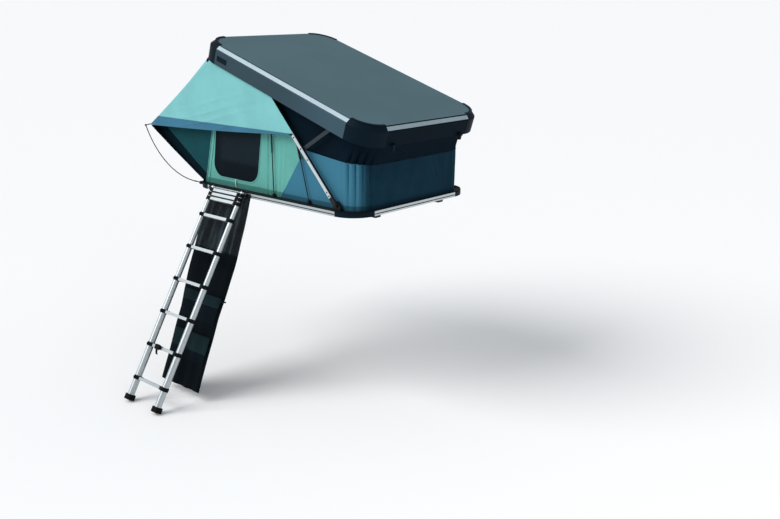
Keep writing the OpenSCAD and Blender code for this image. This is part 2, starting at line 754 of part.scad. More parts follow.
module lid_lining() {
    color([0.12, 0.13, 0.14]) in_lid() translate([lid_l / 2, 0, lining_z])
        plate(lid_l - 2 * ledge_in, lid_w - 2 * ledge_in, lid_corner_r - ledge_in, lid_ledge_z - lining_z);
}

// Channels inside the lid's side walls for the runners on the arms
module arm_tracks() {
    half = runner_d / 2 + runner_play;
    color([0.4, 0.42, 0.44]) in_lid() both_sides()
        translate([runner_closed_a - track_end, -(lid_w / 2 - lid_wall_t), link_pin_h]) rotate([90, 0, 90])
            linear_extrude(runner_a - runner_closed_a + 2 * track_end) {
                translate([0, -half - track_t]) square([track_t, 2 * (half + track_t)]);
                for (s = [-1, 1]) translate([0, s * (half + track_t / 2) - track_t / 2])
                    square([track_t + runner_l, track_t]);
            }
}

// Brackets under the lid's ledge with the studs that carry the links
module link_brackets() {
    color([0.08, 0.08, 0.09]) in_lid() both_sides() {
        translate([link_a - hanger_l / 2, hanger_y, hanger_foot])
            cube([hanger_l, hanger_t, lid_ledge_z - ledge_t - hanger_foot]);
        translate([link_a, hanger_y, link_pin_h]) rotate([-90, 0, 0])
            cylinder(d = pin_d, h = hanger_t + lane_gap + link_t);
    }
}

// Plates of the side latches near the rear of the lid
module side_latch_plates() {
    color([0.04, 0.04, 0.05]) in_lid() both_sides()
        translate([latch_plate_a, -lid_w / 2 - latch_plate[2], latch_plate_h])
            cube([latch_plate[0], latch_plate[2], latch_plate[1]]);
}

// Front latches: a bracket with two ears on the lid's front wall and a hook hanging from its pin
module at_latch(side) {
    in_lid() translate([lid_l + latch_out, side * latch_y, latch_h]) children();
}

module latch_brackets() {
    color([0.05, 0.05, 0.06]) for (side = [-1, 1]) at_latch(side) {
        for (s = [-1, 1]) translate([-latch_out, s * (latch_w + latch_ear) / 2 - latch_ear / 2, -10])
            cube([latch_out + 10, latch_ear, 20]);
        rotate([90, 0, 0]) cylinder(d = latch_pin_d, h = latch_w, center = true);
    }
}

module latch_hook(side) {
    color([0.05, 0.05, 0.06]) at_latch(side) difference() {
        union() {
            rotate([90, 0, 0]) cylinder(d = latch_eye_d, h = latch_w - 2 * seat, center = true);
            translate([-2, -latch_w / 2 + seat, -latch_drop]) cube([10, latch_w - 2 * seat, latch_drop]);
            translate([-8, -latch_w / 2 + seat, -latch_drop]) cube([14, latch_w - 2 * seat, 10]);
        }
        rotate([90, 0, 0]) cylinder(d = latch_pin_d + 2 * run_gap, h = latch_w + 2, center = true);
    }
}

module latch_hook_left() {
    latch_hook(1);
}

module latch_hook_right() {
    latch_hook(-1);
}

// Lifting arms from the base pivots to the runners in the lid
module arms() {
    color([0.07, 0.08, 0.09]) both_sides() difference() {
        side_bar(arm_pivot, arm_point(arm_l), arm_h, -arm_y, arm_t);
        cross_pin(arm_pivot, pin_d + 2 * run_gap, -arm_out_y - 1, -arm_out_y + arm_t + 1);
    }
}

// Silver bar clamped on the outer face of each arm
module clamp_bars() {
    color([0.85, 0.88, 0.9]) both_sides() difference() {
        translate([arm_pivot[0], -arm_out_y - bar_t, arm_pivot[1]]) rotate([0, -arm_angle, 0])
            translate([bar_from, 0, -bar_w / 2]) cube([bar_l, bar_t, bar_w]);
        for (r = screw_r) cross_pin(arm_point(r), screw_d, -arm_out_y - bar_t - 1, -arm_out_y + 1);
    }
}

module clamp_screws() {
    color([0.1, 0.1, 0.1]) both_sides() for (r = screw_r) {
        cross_pin(arm_point(r), screw_d, -arm_out_y - bar_t, -arm_out_y);
        cross_pin(arm_point(r), screw_head_d, -arm_out_y - bar_t - screw_head_h, -arm_out_y - bar_t);
    }
}

module arm_runners() {
    color("gray") both_sides()
        cross_pin(arm_point(arm_l), runner_d, -arm_out_y - lane_gap - runner_l + 1, -arm_out_y);
}

// Studs on the inner faces of the arms for the links and the tops of the struts
module arm_pins() {
    color("gainsboro") both_sides() {
        cross_pin(link_arm, pin_d, -arm_out_y + arm_t, -link_y + link_t / 2);
        for (r = [front_strut_r, rear_strut_r])
            cross_pin(arm_point(r), pin_d, -arm_out_y + arm_t, -link_y + link_t / 2);
    }
}

// Links between the arms and the lid
module links() {
    color([0.28, 0.29, 0.30]) both_sides() difference() {
        side_bar(link_arm, link_lid, link_h, -link_y, link_t);
        for (p = [link_arm, link_lid])
            cross_pin(p, pin_d + 2 * run_gap, -link_y - link_t, -link_y + link_t);
    }
}

// Frame of a strut: Z from its foot to its top
module in_strut(foot, top) {
    v = top - foot;
    both_sides() translate([foot[0], -strut_y, foot[1]]) rotate([0, atan2(v[0], v[1]), 0]) children();
}

// Rod with the eye at its foot
module strut_rod(l) {
    difference() {
        union() {
            cylinder(d = strut_rod_d, h = l);
            rotate([90, 0, 0]) cylinder(d = 2 * foot_r - 2, h = foot_eye_t, center = true);
        }
        rotate([90, 0, 0]) cylinder(d = strut_rod_d - 2 + 2 * run_gap, h = 2 * foot_eye_t, center = true);
    }
}

// Tube from z0 to the eye at its top
module strut_tube(z0, l, d, bore) {
    translate([0, 0, z0]) difference() {
        cylinder(d = d, h = l);
        translate([0, 0, -1]) cylinder(d = bore, h = l - strut_end / 2 + 1);
    }
    translate([0, 0, z0 + l]) rotate([90, 0, 0]) cylinder(d = d, h = foot_eye_t, center = true);
}

module front_strut_rods() {
    color("silver") in_strut(front_foot, front_top) strut_rod(front_rod_l);
}

module front_strut_tubes() {
    color([0.05, 0.05, 0.06]) in_strut(front_foot, front_top)
        strut_tube(front_open - front_tube_l, front_tube_l, strut_d, strut_rod_d + 2 * strut_gap);
}

module rear_strut_rods() {
    color("silver") in_strut(rear_foot, rear_top) strut_rod(rear_rod_l);
}

module rear_strut_mids() {
    color([0.07, 0.07, 0.08]) in_strut(rear_foot, rear_top) translate([0, 0, mid_from]) difference() {
        cylinder(d = mid_tube_d, h = mid_tube_l);
        translate([0, 0, -1]) cylinder(d = strut_rod_d + 2 * strut_gap, h = mid_tube_l + 2);
    }
}

module rear_strut_tubes() {
    color([0.05, 0.05, 0.06]) in_strut(rear_foot, rear_top)
        strut_tube(rear_open - rear_tube_l, rear_tube_l, strut_d, mid_tube_d + 2 * strut_gap);
}

// Spring-steel rod from the base corner round to the awning tip, with a ferrule and a knuckle at its joints
module awning_rod() {
    start = [socket_x - rod_straight, rod_y, rod_z];
    bend = start + rod_bow_r * [-sin(rod_bow), 0, 1 - cos(rod_bow)];
    color("gray") {
        translate(start) rotate([0, 90, 0]) cylinder(d = ferrule_d, h = ferrule_l, center = true);
        translate(start) rotate([0, 90, 0]) cylinder(d = rod_d, h = rod_straight + rod_in);
        translate(start + [0, 0, rod_bow_r]) rotate([90, 0, 0]) rotate([0, 0, -90 - rod_bow])
            rotate_extrude(angle = rod_bow, $fn = 96) translate([rod_bow_r, 0]) circle(d = rod_d);
        translate(bend) {
            rotate([90, 0, 0]) cylinder(d = knuckle_d, h = ferrule_d, center = true);
            rotate([0, rod_tip_turn, 0]) cylinder(d = rod_d, h = rod_hook);
        }
    }
}

module awning_rod_right() {
    awning_rod();
}

module awning_rod_left() {
    mirror([0, 1, 0]) awning_rod();
}

// Frame of the ladder: Z from its feet up to its hinge, Y towards the tent
module in_ladder() {
    translate([ladder_x, ladder_y, ladder_hinge_z]) rotate([-ladder_lean, 0, 0])
        translate([0, 0, -ladder_l]) children();
}

module both_tubes() {
    for (s = [-1, 1]) translate([s * ladder_w / 2, 0, 0]) children();
}

// Hollow tubes of one section, up to the top of its collar
module ladder_tubes(i, top) {
    both_tubes() translate([0, 0, tube_foot(i)]) difference() {
        cylinder(r = tube_r(i), h = top - tube_foot(i));
        translate([0, 0, -1]) cylinder(r = tube_r(i) - tube_t, h = top - tube_foot(i) + 2);
    }
}

// Tread between the collars of one section, grooved along its length
function rung_l(i) = ladder_w - 2 * (tube_r(i) + collar_t + boss_l);
module rung(i, z) {
    translate([-rung_l(i) / 2, 0, z]) rotate([90, 0, 90]) linear_extrude(rung_l(i)) difference() {
        square([rung_d, rung_h], center = true);
        for (k = [-2:2], s = [-1, 1]) translate([k * rung_d / 5.5, s * rung_h / 2])
            square([groove, groove], center = true);
        translate([0, 0]) square([rung_d - 4 * groove, rung_h - 4 * groove], center = true);
    }
}

// Collars round the tops of one section's tubes, with the sockets of its tread
module collars(i, z) {
    both_tubes() translate([0, 0, z - collar_h / 2]) difference() {
        cylinder(r = tube_r(i) + collar_t, h = collar_h);
        translate([0, 0, -1]) cylinder(r = tube_r(i) + run_gap, h = collar_h + 2);
    }
    for (s = [-1, 1]) translate([s * (rung_l(i) / 2 + boss_l / 2 + collar_t / 2), 0, z]) difference() {
        cube([boss_l + collar_t, rung_d + 4, rung_h + 4], center = true);
        translate([s * (ladder_w - rung_l(i) - boss_l - collar_t) / 2, 0, -collar_h])
            cylinder(r = tube_r(i) + collar_t - 1, h = 2 * collar_h);
    }
}

module ladder_section(i) {
    color([0.8, 0.82, 0.84]) in_ladder() {
        ladder_tubes(i, collar_at(i) + collar_h / 2);
        rung(i, collar_at(i));
        if (i == 1) rung(1, rung_first);
    }
}

module ladder_collars(i) {
    color([0.05, 0.05, 0.06]) in_ladder() {
        collars(i, collar_at(i));
        if (i == 1) collars(1, rung_first);
    }
}

// The three stacked sections at the top, with the hinge rod through the innermost tubes
module ladder_head() {
    color([0.8, 0.82, 0.84]) in_ladder() {
        for (i = [6:section_n]) {
            ladder_tubes(i, i == section_n ? ladder_l + hinge_d / 2 + hinge_over
                : collar_at(i) + collar_h / 2);
            rung(i, collar_at(i));
        }
        translate([-hinge_rod_l / 2, 0, ladder_l]) rotate([0, 90, 0]) cylinder(d = hinge_d, h = hinge_rod_l);
    }
}

module ladder_head_collars() {
    color([0.05, 0.05, 0.06]) in_ladder() for (i = [6:section_n]) collars(i, collar_at(i));
}

module ladder_section_5() {
    ladder_section(5);
}

module ladder_collars_5() {
    ladder_collars(5);
}

module ladder_section_4() {
    ladder_section(4);
}

module ladder_collars_4() {
    ladder_collars(4);
}

module ladder_section_3() {
    ladder_section(3);
}

module ladder_collars_3() {
    ladder_collars(3);
}

module ladder_section_2() {
    ladder_section(2);
}

module ladder_collars_2() {
    ladder_collars(2);
}

module ladder_section_1() {
    ladder_section(1);
}

module ladder_collars_1() {
    ladder_collars(1);
}

// Rubber feet under the lowest tubes
module ladder_feet() {
    color([0.04, 0.04, 0.04]) in_ladder() both_tubes() difference() {
        translate([-foot_w / 2, -foot_d / 2, 0]) cube([foot_w, foot_d, foot_h + foot_over]);
        translate([0, 0, foot_h]) cylinder(r = tube_r(1) + run_gap, h = foot_over + 1);
    }
}

// Tie strap round the second rung
module tie_strap() {
    color([0.04, 0.04, 0.04]) in_ladder() translate([strap_x, 0, collar_at(1)]) difference() {
        cube([strap_w, rung_d + 2 * (strap_t + seat), rung_h + 2 * (strap_t + seat)], center = true);
        cube([strap_w + 2, rung_d + 2 * seat, rung_h + 2 * seat], center = true);
    }
}

// Screen that hangs from the edge rail behind the ladder, with soft folds along its length
function screen_point(u, v, t) = let (
        wave = sin(360 * screen_folds * u) * (0.6 + 0.4 * cos(300 * v)),
        ripple = screen_fold * wave * sin(90 * min(1, 3 * v)),
        out = v * screen_l * sin(screen_lean) + ripple * cos(screen_lean) - t * cos(screen_lean),
        down = v * screen_l * cos(screen_lean) - ripple * sin(screen_lean) + t * sin(screen_lean))
    [ladder_x + (u - 0.5) * screen_w, screen_y - out, rail_z - seat - down];
module ladder_screen() {
    color([0.05, 0.06, 0.07])
        skin([for (k = [screen_rows:-1:0]) [for (i = [0:screen_cols])
                screen_point(i / screen_cols, k / screen_rows, 0)]],
            [for (k = [screen_rows:-1:0]) [for (i = [0:screen_cols])
                screen_point(i / screen_cols, k / screen_rows, cloth_t)]]);
}

base_panel();
base_side_rails();
base_end_rails();
base_corners();
base_seal();
mounting_rails();
mattress();
arm_brackets();
base_pins();
strut_feet();
ladder_bracket();
front_wall();
side_walls();
windows();
gaiter();
gussets();
rear_panel();
fly_sides();
fly_hems();
awning();
lid_panel();
lid_side_rails();
lid_end_rails();
lid_corners();
lid_grips();
lid_lining();
arm_tracks();
link_brackets();
side_latch_plates();
latch_brackets();
latch_hook_left();
latch_hook_right();
arms();
clamp_bars();
clamp_screws();
arm_runners();
arm_pins();
links();
front_strut_rods();
front_strut_tubes();
rear_strut_rods();
rear_strut_mids();
rear_strut_tubes();
awning_rod_left();
awning_rod_right();
ladder_head();
ladder_head_collars();
ladder_section_5();
ladder_collars_5();
ladder_section_4();
ladder_collars_4();
ladder_section_3();
ladder_collars_3();
ladder_section_2();
ladder_collars_2();
ladder_section_1();
ladder_collars_1();
ladder_feet();
tie_strap();
ladder_screen();
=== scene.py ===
# %% [markdown]
# # A roof top tent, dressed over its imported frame
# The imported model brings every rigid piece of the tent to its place: base, lid, lifting gear, awning
# rods and ladder. This lesson adds what solids can't show: cloth, padding, small fittings and finishes.

# %% Load the frame
from functools import partial
from math import copysign, cos, exp, pi, radians, sin, sqrt, tan, tau

import bpy
from mathutils import Matrix, Vector, geometry, noise


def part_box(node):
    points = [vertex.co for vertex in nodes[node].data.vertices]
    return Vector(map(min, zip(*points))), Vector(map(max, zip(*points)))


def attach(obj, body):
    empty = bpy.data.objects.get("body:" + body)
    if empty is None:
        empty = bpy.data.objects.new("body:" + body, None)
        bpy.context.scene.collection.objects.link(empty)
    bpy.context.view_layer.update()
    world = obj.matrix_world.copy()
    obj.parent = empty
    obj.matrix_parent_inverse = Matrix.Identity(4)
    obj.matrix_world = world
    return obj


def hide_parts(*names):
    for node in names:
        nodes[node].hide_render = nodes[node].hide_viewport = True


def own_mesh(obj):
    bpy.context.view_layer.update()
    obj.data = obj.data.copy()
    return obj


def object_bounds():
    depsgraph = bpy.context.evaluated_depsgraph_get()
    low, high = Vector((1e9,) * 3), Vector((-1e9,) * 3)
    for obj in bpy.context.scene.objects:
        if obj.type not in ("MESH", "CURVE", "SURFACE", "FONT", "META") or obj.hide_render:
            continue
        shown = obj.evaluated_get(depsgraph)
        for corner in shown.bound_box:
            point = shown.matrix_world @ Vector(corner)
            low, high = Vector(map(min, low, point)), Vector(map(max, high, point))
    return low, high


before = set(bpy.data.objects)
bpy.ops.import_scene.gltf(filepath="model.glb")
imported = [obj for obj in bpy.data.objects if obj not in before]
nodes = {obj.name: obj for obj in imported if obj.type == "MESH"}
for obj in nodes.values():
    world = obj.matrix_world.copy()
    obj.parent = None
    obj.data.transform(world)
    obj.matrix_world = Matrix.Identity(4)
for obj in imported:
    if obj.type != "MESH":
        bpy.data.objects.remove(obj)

cad_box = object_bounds()
scene = bpy.context.scene
sides = ((-1, "right"), (1, "left"))
ends = ((-1, "rear"), (1, "front"))


def rounded(values):
    return [round(v, 3) for v in values]


# %% [markdown]
# ## Camera
# The camera was solved from the straight edges of the tent in the photograph. It stands in front of the
# tent and to its right, a little above the lid, and looks down by about sixteen degrees. Building its
# matrix from three directions avoids any trial and error with angles.

# %% Camera at the photograph's angle
photo_width = 780
focal_pixels = 942.31
sensor = 36
camera_spot = (5.97685, -5.85503, 1.73607)
yaw, dip, roll = 2.300968, 0.274684, -0.003935
ahead = Vector((cos(dip) * cos(yaw), cos(dip) * sin(yaw), -sin(dip)))
level = Vector((sin(yaw), -cos(yaw), 0))
under = ahead.cross(level)
right = cos(roll) * level + sin(roll) * under
below = cos(roll) * under - sin(roll) * level
camera_data = bpy.data.cameras.new("camera")
camera_data.sensor_width = sensor
camera_data.lens = sensor * focal_pixels / photo_width
camera_data.clip_end = 4000
camera = bpy.data.objects.new("camera", camera_data)
scene.collection.objects.link(camera)
facing = Matrix((right, -below, -ahead)).transposed().to_4x4()
camera.matrix_world = Matrix.Translation(camera_spot) @ facing
scene.camera = camera
print("lens", round(camera_data.lens, 2), "mm")

# %% [markdown]
# ## Shader maths
# A finish is a Principled shader with a few patterns in front of it. Adding Math nodes by hand is slow to
# read, so a small class wraps a socket and turns ordinary sums into nodes. Fixed numbers go straight on
# the shader's own sockets, and only what changes over the surface is linked.

# %% Wrapped sockets
class Term:
    def __init__(self, finish, socket):
        self.finish = finish
        self.socket = socket

    def op(self, operation, *others):
        return self.finish.node("ShaderNodeMath", {"operation": operation}, [self, *others])

    def __add__(self, other):
        return self.op("ADD", other)

    def __rsub__(self, other):
        return self.finish.node("ShaderNodeMath", {"operation": "SUBTRACT"}, [other, self])

    def __mul__(self, other):
        return self.op("MULTIPLY", other)

    def wave(self):
        return self.op("SINE")

    def over(self, level):
        return self.op("GREATER_THAN", level)

    def between(self, low, high):
        return self.finish.node("ShaderNodeMapRange", {"interpolation_type": "SMOOTHSTEP"},
                                {"Value": self, "From Min": low, "From Max": high})


class Finish:
    def __init__(self, name):
        self.material = bpy.data.materials.new(name)
        self.material.use_nodes = True
        self.tree = self.material.node_tree
        self.shader = self.tree.nodes["Principled BSDF"]

    def feed(self, socket, value):
        if isinstance(value, Term):
            self.tree.links.new(value.socket, socket)
        elif isinstance(value, tuple) and len(value) == 3 and socket.type == "RGBA":
            socket.default_value = (*value, 1)
        else:
            socket.default_value = value

    def node(self, kind, settings=None, inputs=(), out=0):
        made = self.tree.nodes.new(kind)
        for key, value in (settings or {}).items():
            setattr(made, key, value)
        for key, value in inputs.items() if isinstance(inputs, dict) else enumerate(inputs):
            self.feed(made.inputs[key], value)
        return Term(self, made.outputs[out])

    def spot(self, out="Object"):
        return self.node("ShaderNodeTexCoord", out=out)

    def split(self, vector):
        parts = self.tree.nodes.new("ShaderNodeSeparateXYZ")
        self.feed(parts.inputs[0], vector)
        return [Term(self, s) for s in parts.outputs]

    def cloud(self, vector, scale, detail=3.0, rough=0.55):
        return self.node("ShaderNodeTexNoise", None,
                         {"Vector": vector, "Scale": scale, "Detail": detail, "Roughness": rough})

    def stretch(self, vector, scale, rotation=(0, 0, 0)):
        return self.node("ShaderNodeMapping", None,
                         {"Vector": vector, "Scale": scale, "Rotation": rotation})

    def mix(self, share, first, second):
        made = self.tree.nodes.new("ShaderNodeMix")
        made.data_type = "RGBA"
        for index, value in ((0, share), (6, first), (7, second)):
            self.feed(made.inputs[index], value)
        return Term(self, made.outputs[2])

    def bump(self, height, strength, distance):
        return self.node("ShaderNodeBump", None,
                         {"Height": height, "Strength": strength, "Distance": distance})

    def wear(self, **sockets):
        for key, value in sockets.items():
            self.feed(self.shader.inputs[key.replace("_", " ")], value)
        return self.material


def srgb(r, g, b):
    return tuple(((c / 255 + 0.055) / 1.055) ** 2.4 if c > 10 else c / 255 / 12.92
                 for c in (r, g, b))


def shade(colour, factor):
    return tuple(min(1.0, c * factor) for c in colour)


print("shader helpers ready")

# %% [markdown]
# ## Cloth finishes
# Tent cloth is a coated plain weave: threads cross every couple of millimetres, a heavier thread runs
# every seven, and the coating leaves a faint mottling. The weave follows the piece's own UV map, which
# is laid out in metres, so that the threads keep their size on every panel. Their rates are in radians
# per metre.

# %% Woven cloth
thread_rate = 2600
heavy_rate = 898


def lattice(a, b, rate, level):
    return (a * rate).wave().over(level) + (b * rate).wave().over(level)


def weave(f):
    u, v, _ = f.split(f.spot("UV"))
    return (u * thread_rate).wave() * (v * thread_rate).wave(), lattice(u, v, heavy_rate, 0.93)


def weave_bump(f, threads, heavy, crumple):
    return f.bump(threads * 0.05 + heavy * 0.08 + crumple, 0.35, 0.006)


def woven(name, colour, rough=0.82, sheen=0.1, mottling=0.10, gloss=0.15):
    f = Finish(name)
    threads, heavy = weave(f)
    mottle = f.cloud(f.spot(), 3.5, 4.0)
    crumple = f.cloud(f.spot(), 14.0, 5.0, 0.6)
    tone = f.mix(mottle.between(0.3, 0.7), shade(colour, 1 - mottling), shade(colour, 1 + mottling))
    tone = f.mix(threads * 0.08 + 0.08, tone, shade(colour, 0.6))
    tone = f.mix(heavy * 0.12, tone, shade(colour, 1.35))
    return f.wear(Base_Color=tone, Roughness=mottle * 0.12 + (rough - 0.06), Sheen_Weight=sheen,
                  Sheen_Roughness=0.45, Specular_IOR_Level=gloss,
                  Normal=weave_bump(f, threads, heavy, crumple * 0.6))


fly_cloth = woven("fly_cloth", srgb(121, 188, 189), 0.78, 0.1, 0.06)
hem_cloth = woven("hem_cloth", srgb(54, 112, 138), 0.78, 0.1, 0.08)
wall_cloth = woven("wall_cloth", srgb(93, 164, 155), 0.82, 0.1, 0.07)
band_cloth = woven("band_cloth", srgb(62, 122, 114), 0.82, 0.1, 0.08)
gusset_cloth = woven("gusset_cloth", srgb(10, 64, 70), 0.82, 0.02, 0.10, 0.1)
dark_cloth = woven("dark_cloth", srgb(5, 22, 31), 0.85, 0.0, 0.2, 0.04)
gaiter_cloth = woven("gaiter_cloth", srgb(5, 21, 32), 0.85, 0.0, 0.2, 0.05)
piping_cloth = woven("piping_cloth", srgb(58, 116, 110), 0.8, 0.1, 0.08)
print("cloth finishes", len([m for m in bpy.data.materials if "cloth" in m.name]))

# %% [markdown]
# The front wall is one blue cloth. Its panel across the front is painted darker than the side panels, as
# painted shade on the face turned away from the light. A mask along the tent mixes the two blues over the
# rounded corner, and its foot is darker.

# %% Front wall with painted shade across the front
def blue_with_painted_front_shade(name, side_blue, painted_shade_blue):
    f = Finish(name)
    threads, heavy = weave(f)
    x, _, z = f.split(f.spot())
    mottle = f.cloud(f.spot(), 3.0, 4.0)
    crumple = f.cloud(f.spot(), 11.0, 5.0, 0.6)
    corner = x.between(0.93, 1.0)
    foot = z.between(0.125, 0.115)
    # the darker front blue is painted shade, mixed in round the corner
    tone = f.mix(corner, side_blue, painted_shade_blue)
    tone = f.mix(mottle.between(0.35, 0.75) * 0.06, tone, shade(side_blue, 1.15))
    tone = f.mix(heavy * 0.05, tone, side_blue)
    tone = f.mix(foot * 0.5, tone, shade(painted_shade_blue, 0.5))
    return f.wear(Base_Color=tone, Roughness=mottle * 0.12 + 0.72, Sheen_Weight=0.02,
                  Sheen_Roughness=0.45, Specular_IOR_Level=0.05,
                  Normal=weave_bump(f, threads, heavy, crumple * 0.8))


front_cloth = blue_with_painted_front_shade("front_cloth", srgb(58, 114, 137), srgb(8, 39, 55))
print("made", front_cloth.name)

# %% [markdown]
# Window and screen mesh are fine nets. Painted holes between lighter threads read as net at any distance.
# The window's holes are painted dark, as the shaded inside seen through it, and a painted patch of light
# lies over its upper front part. The screen's upper part lets some light through, which Alpha gives, and
# its pale streaks are painted highlights along its creases.

# %% Nets
def net(name, thread, hole, pitch):
    f = Finish(name)
    x, _, z = f.split(f.spot())
    grid = lattice(x, z, tau / pitch, 0.55)
    haze = f.cloud(f.stretch(f.spot(), (9, 9, 1.2)), 1.0, 4.0)
    tone = f.mix(grid * 0.5, hole, thread)
    # painted light seen through the net, over the window's upper front part
    inside = x.between(-0.74, -0.66) * z.between(0.28, 0.34)
    tone = f.mix(inside * 0.55 + haze.between(0.45, 0.8) * 0.15, tone, shade(thread, 1.2))
    return f.wear(Base_Color=tone, Roughness=haze * 0.2 + 0.5, Specular_IOR_Level=0.03,
                  Normal=f.bump(grid * 0.3 + haze, 0.3, 0.004))


# the hole colour is painted shade: the dark inside seen through the net
window_net = net("window_net", srgb(24, 36, 42), srgb(3, 11, 18), 0.0022)


def screen_finish(name, pitch):
    f = Finish(name)
    u, v, _ = f.split(f.spot("UV"))
    grid = lattice(u, v, tau / pitch, 0.5)
    haze = f.cloud(f.stretch(f.spot("UV"), (17, 1.7, 1)), 1.0, 4.0)
    solid = v.between(0.50, 0.53)
    # the pale streaks are painted highlights along the screen's creases
    open_tone_with_painted_highlights = f.mix(haze.between(0.42, 0.72), srgb(6, 15, 20), srgb(52, 66, 71))
    tone = f.mix(solid, open_tone_with_painted_highlights, srgb(4, 11, 16))
    tone = f.mix(grid * 0.03, tone, srgb(60, 68, 74))
    thin = 1 - (1 - solid) * (1 - grid * 0.4) * 0.12
    return f.wear(Base_Color=tone, Roughness=haze * 0.2 + 0.6, Alpha=thin, Specular_IOR_Level=0.03,
                  Normal=f.bump(grid * 0.2 + haze, 0.3, 0.006))


screen_cloth = screen_finish("screen_cloth", 0.003)
pocket_cloth = woven("pocket_cloth", srgb(10, 19, 26), 0.8, 0.0, 0.2, 0.03)
band_net = woven("band_net", srgb(19, 36, 40), 0.8, 0.0, 0.2, 0.05)
webbing_cloth = woven("webbing", srgb(13, 16, 18), 0.75, 0.02, 0.2, 0.1)
strap_cloth = woven("light_strap", srgb(150, 196, 186), 0.75, 0.2, 0.1)
mattress_cloth = woven("mattress_cover", srgb(104, 112, 120), 0.9, 0.3, 0.1)
print("nets and webbing ready")

# %% [markdown]
# ## Hard finishes
# Extruded rails and ladder tubes are anodised aluminium, brushed along their length. Noise stretched along
# one axis gives the brushing, and it feeds the roughness and a weak bump.

# %% Aluminium
def anodised(name, colour, streak, rotation=(0, 0, 0), rough=0.32, metal=0.85):
    f = Finish(name)
    brushed = f.cloud(f.stretch(f.spot(), streak, rotation), 1.0, 3.0)
    smudge = f.cloud(f.spot(), 5.0, 3.0)
    tone = f.mix(brushed.between(0.3, 0.7), shade(colour, 0.86), shade(colour, 1.06))
    tone = f.mix(smudge.between(0.5, 0.8) * 0.25, tone, shade(colour, 0.75))
    return f.wear(Base_Color=tone, Metallic=metal,
                  Roughness=brushed * 0.18 + smudge * 0.1 + (rough - 0.12),
                  Normal=f.bump(brushed, 0.12, 0.001))


lean = radians(30.5)
rail_silver = anodised("rail_silver", srgb(182, 192, 196), (3, 420, 420))
end_silver = anodised("end_silver", srgb(190, 198, 200), (420, 3, 420))
ladder_silver = anodised("ladder_silver", srgb(184, 192, 195), (300, 300, 4), (lean, 0, 0), 0.36)
grip_silver = anodised("grip_silver", srgb(166, 184, 192), (420, 420, 420), rough=0.5, metal=0.35)
bar_silver = anodised("bar_silver", srgb(205, 216, 221), (380, 380, 380), rough=0.35)
steel = anodised("steel", srgb(150, 153, 156), (260, 260, 260), rough=0.3)
link_grey = anodised("link_grey", srgb(58, 66, 71), (300, 300, 300), rough=0.45)
print("metals ready")

# %% [markdown]
# The lid is a coated shell: slate grey on top and darker along the sides. Its ends are painted nearly
# black, as painted shade, and its corners are black mouldings. The coating has a fine grain and broad, soft
# differences in gloss, and the lid's sides are painted paler towards the front, a painted reflection of the
# lamp. Moulded corners and collars are grained black plastic with paler scuffs.

# %% Coatings and plastics
def coated(name, colour, grain=700.0, rough=0.5, spread=0.08, gloss=0.15, coat=0.0, front=1):
    f = Finish(name)
    fine = f.cloud(f.spot(), grain, 2.0)
    broad = f.cloud(f.spot(), 1.6, 3.0)
    scuff = f.cloud(f.stretch(f.spot(), (6, 30, 6)), 4.0, 6.0, 0.7)
    tone = f.mix(broad.between(0.3, 0.7), shade(colour, 1 - spread), shade(colour, 1 + spread))
    # front above 1 paints a reflection of the lamp: the colour grows paler towards the front
    if front > 1:
        painted_lamp_reflection = f.split(f.spot())[0].between(0.1, 0.8)
        tone = f.mix(painted_lamp_reflection * 0.9, tone, shade(colour, front))
    tone = f.mix(fine.between(0.45, 0.62) * 0.15, tone, shade(colour, 1.5))
    tone = f.mix(scuff.between(0.62, 0.78) * 0.12, tone, shade(colour, 2.2))
    return f.wear(Base_Color=tone, Roughness=broad * 0.12 + scuff * 0.08 + (rough - 0.1),
                  Coat_Weight=coat, Specular_IOR_Level=gloss, Normal=f.bump(fine, 0.18, 0.0008))


lid_slate = coated("lid_slate", srgb(72, 99, 108), 520.0, 0.55, 0.06)
# the paler front of the sides is a painted reflection of the lamp
lid_side = coated("lid_side", srgb(42, 63, 73), 520.0, 0.55, 0.06, front=1.6)
# the ends are painted nearly black as painted shade
lid_end = coated("lid_end", srgb(3, 19, 28), 520.0, 0.5, 0.08, 0.03)
moulding = coated("moulding", srgb(4, 21, 31), 900.0, 0.5, 0.1, 0.06)
collar_black = coated("collar_black", srgb(4, 12, 15), 900.0, 0.5, 0.1, 0.1)
base_board = coated("base_board", srgb(30, 35, 39), 300.0, 0.7, 0.1)
dark_metal = coated("dark_metal", srgb(13, 17, 20), 800.0, 0.42, 0.1, 0.25)
strut_black = coated("strut_black", srgb(9, 11, 13), 1200.0, 0.3, 0.05, 0.25, 0.15)
rubber = coated("rubber", srgb(11, 12, 13), 700.0, 0.8, 0.12, 0.1)
felt = coated("felt", srgb(14, 27, 36), 260.0, 0.95, 0.12, 0.05)
print("coatings ready")

# %% Finishes on the carried-over pieces
rungs = range(5, 0, -1)
worn_by = {
    rail_silver: "base_side_rails",
    end_silver: "base_end_rails",
    moulding: "base_corners lid_corners side_latch_plates latch_brackets latch_hook_left "
              "latch_hook_right",
    collar_black: " ".join(["ladder_head_collars", *(f"ladder_collars_{k}" for k in rungs)]),
    rubber: "base_seal ladder_feet",
    dark_metal: "mounting_rails arm_brackets strut_feet ladder_bracket link_brackets arm_tracks "
                "arms clamp_screws base_pins arm_pins awning_rod_left awning_rod_right",
    base_board: "base_panel",
    lid_slate: "lid_panel",
    lid_side: "lid_side_rails",
    lid_end: "lid_end_rails",
    grip_silver: "lid_grips",
    felt: "lid_lining",
    bar_silver: "clamp_bars",
    steel: "arm_runners",
    link_grey: "links",
    strut_black: "front_strut_rods rear_strut_rods front_strut_tubes rear_strut_mids "
                 "rear_strut_tubes",
    ladder_silver: " ".join(["ladder_head", *(f"ladder_section_{k}" for k in rungs)]),
}
for finish, names in worn_by.items():
    for name in names.split():
        for place in nodes[name].material_slots:
            place.material = finish
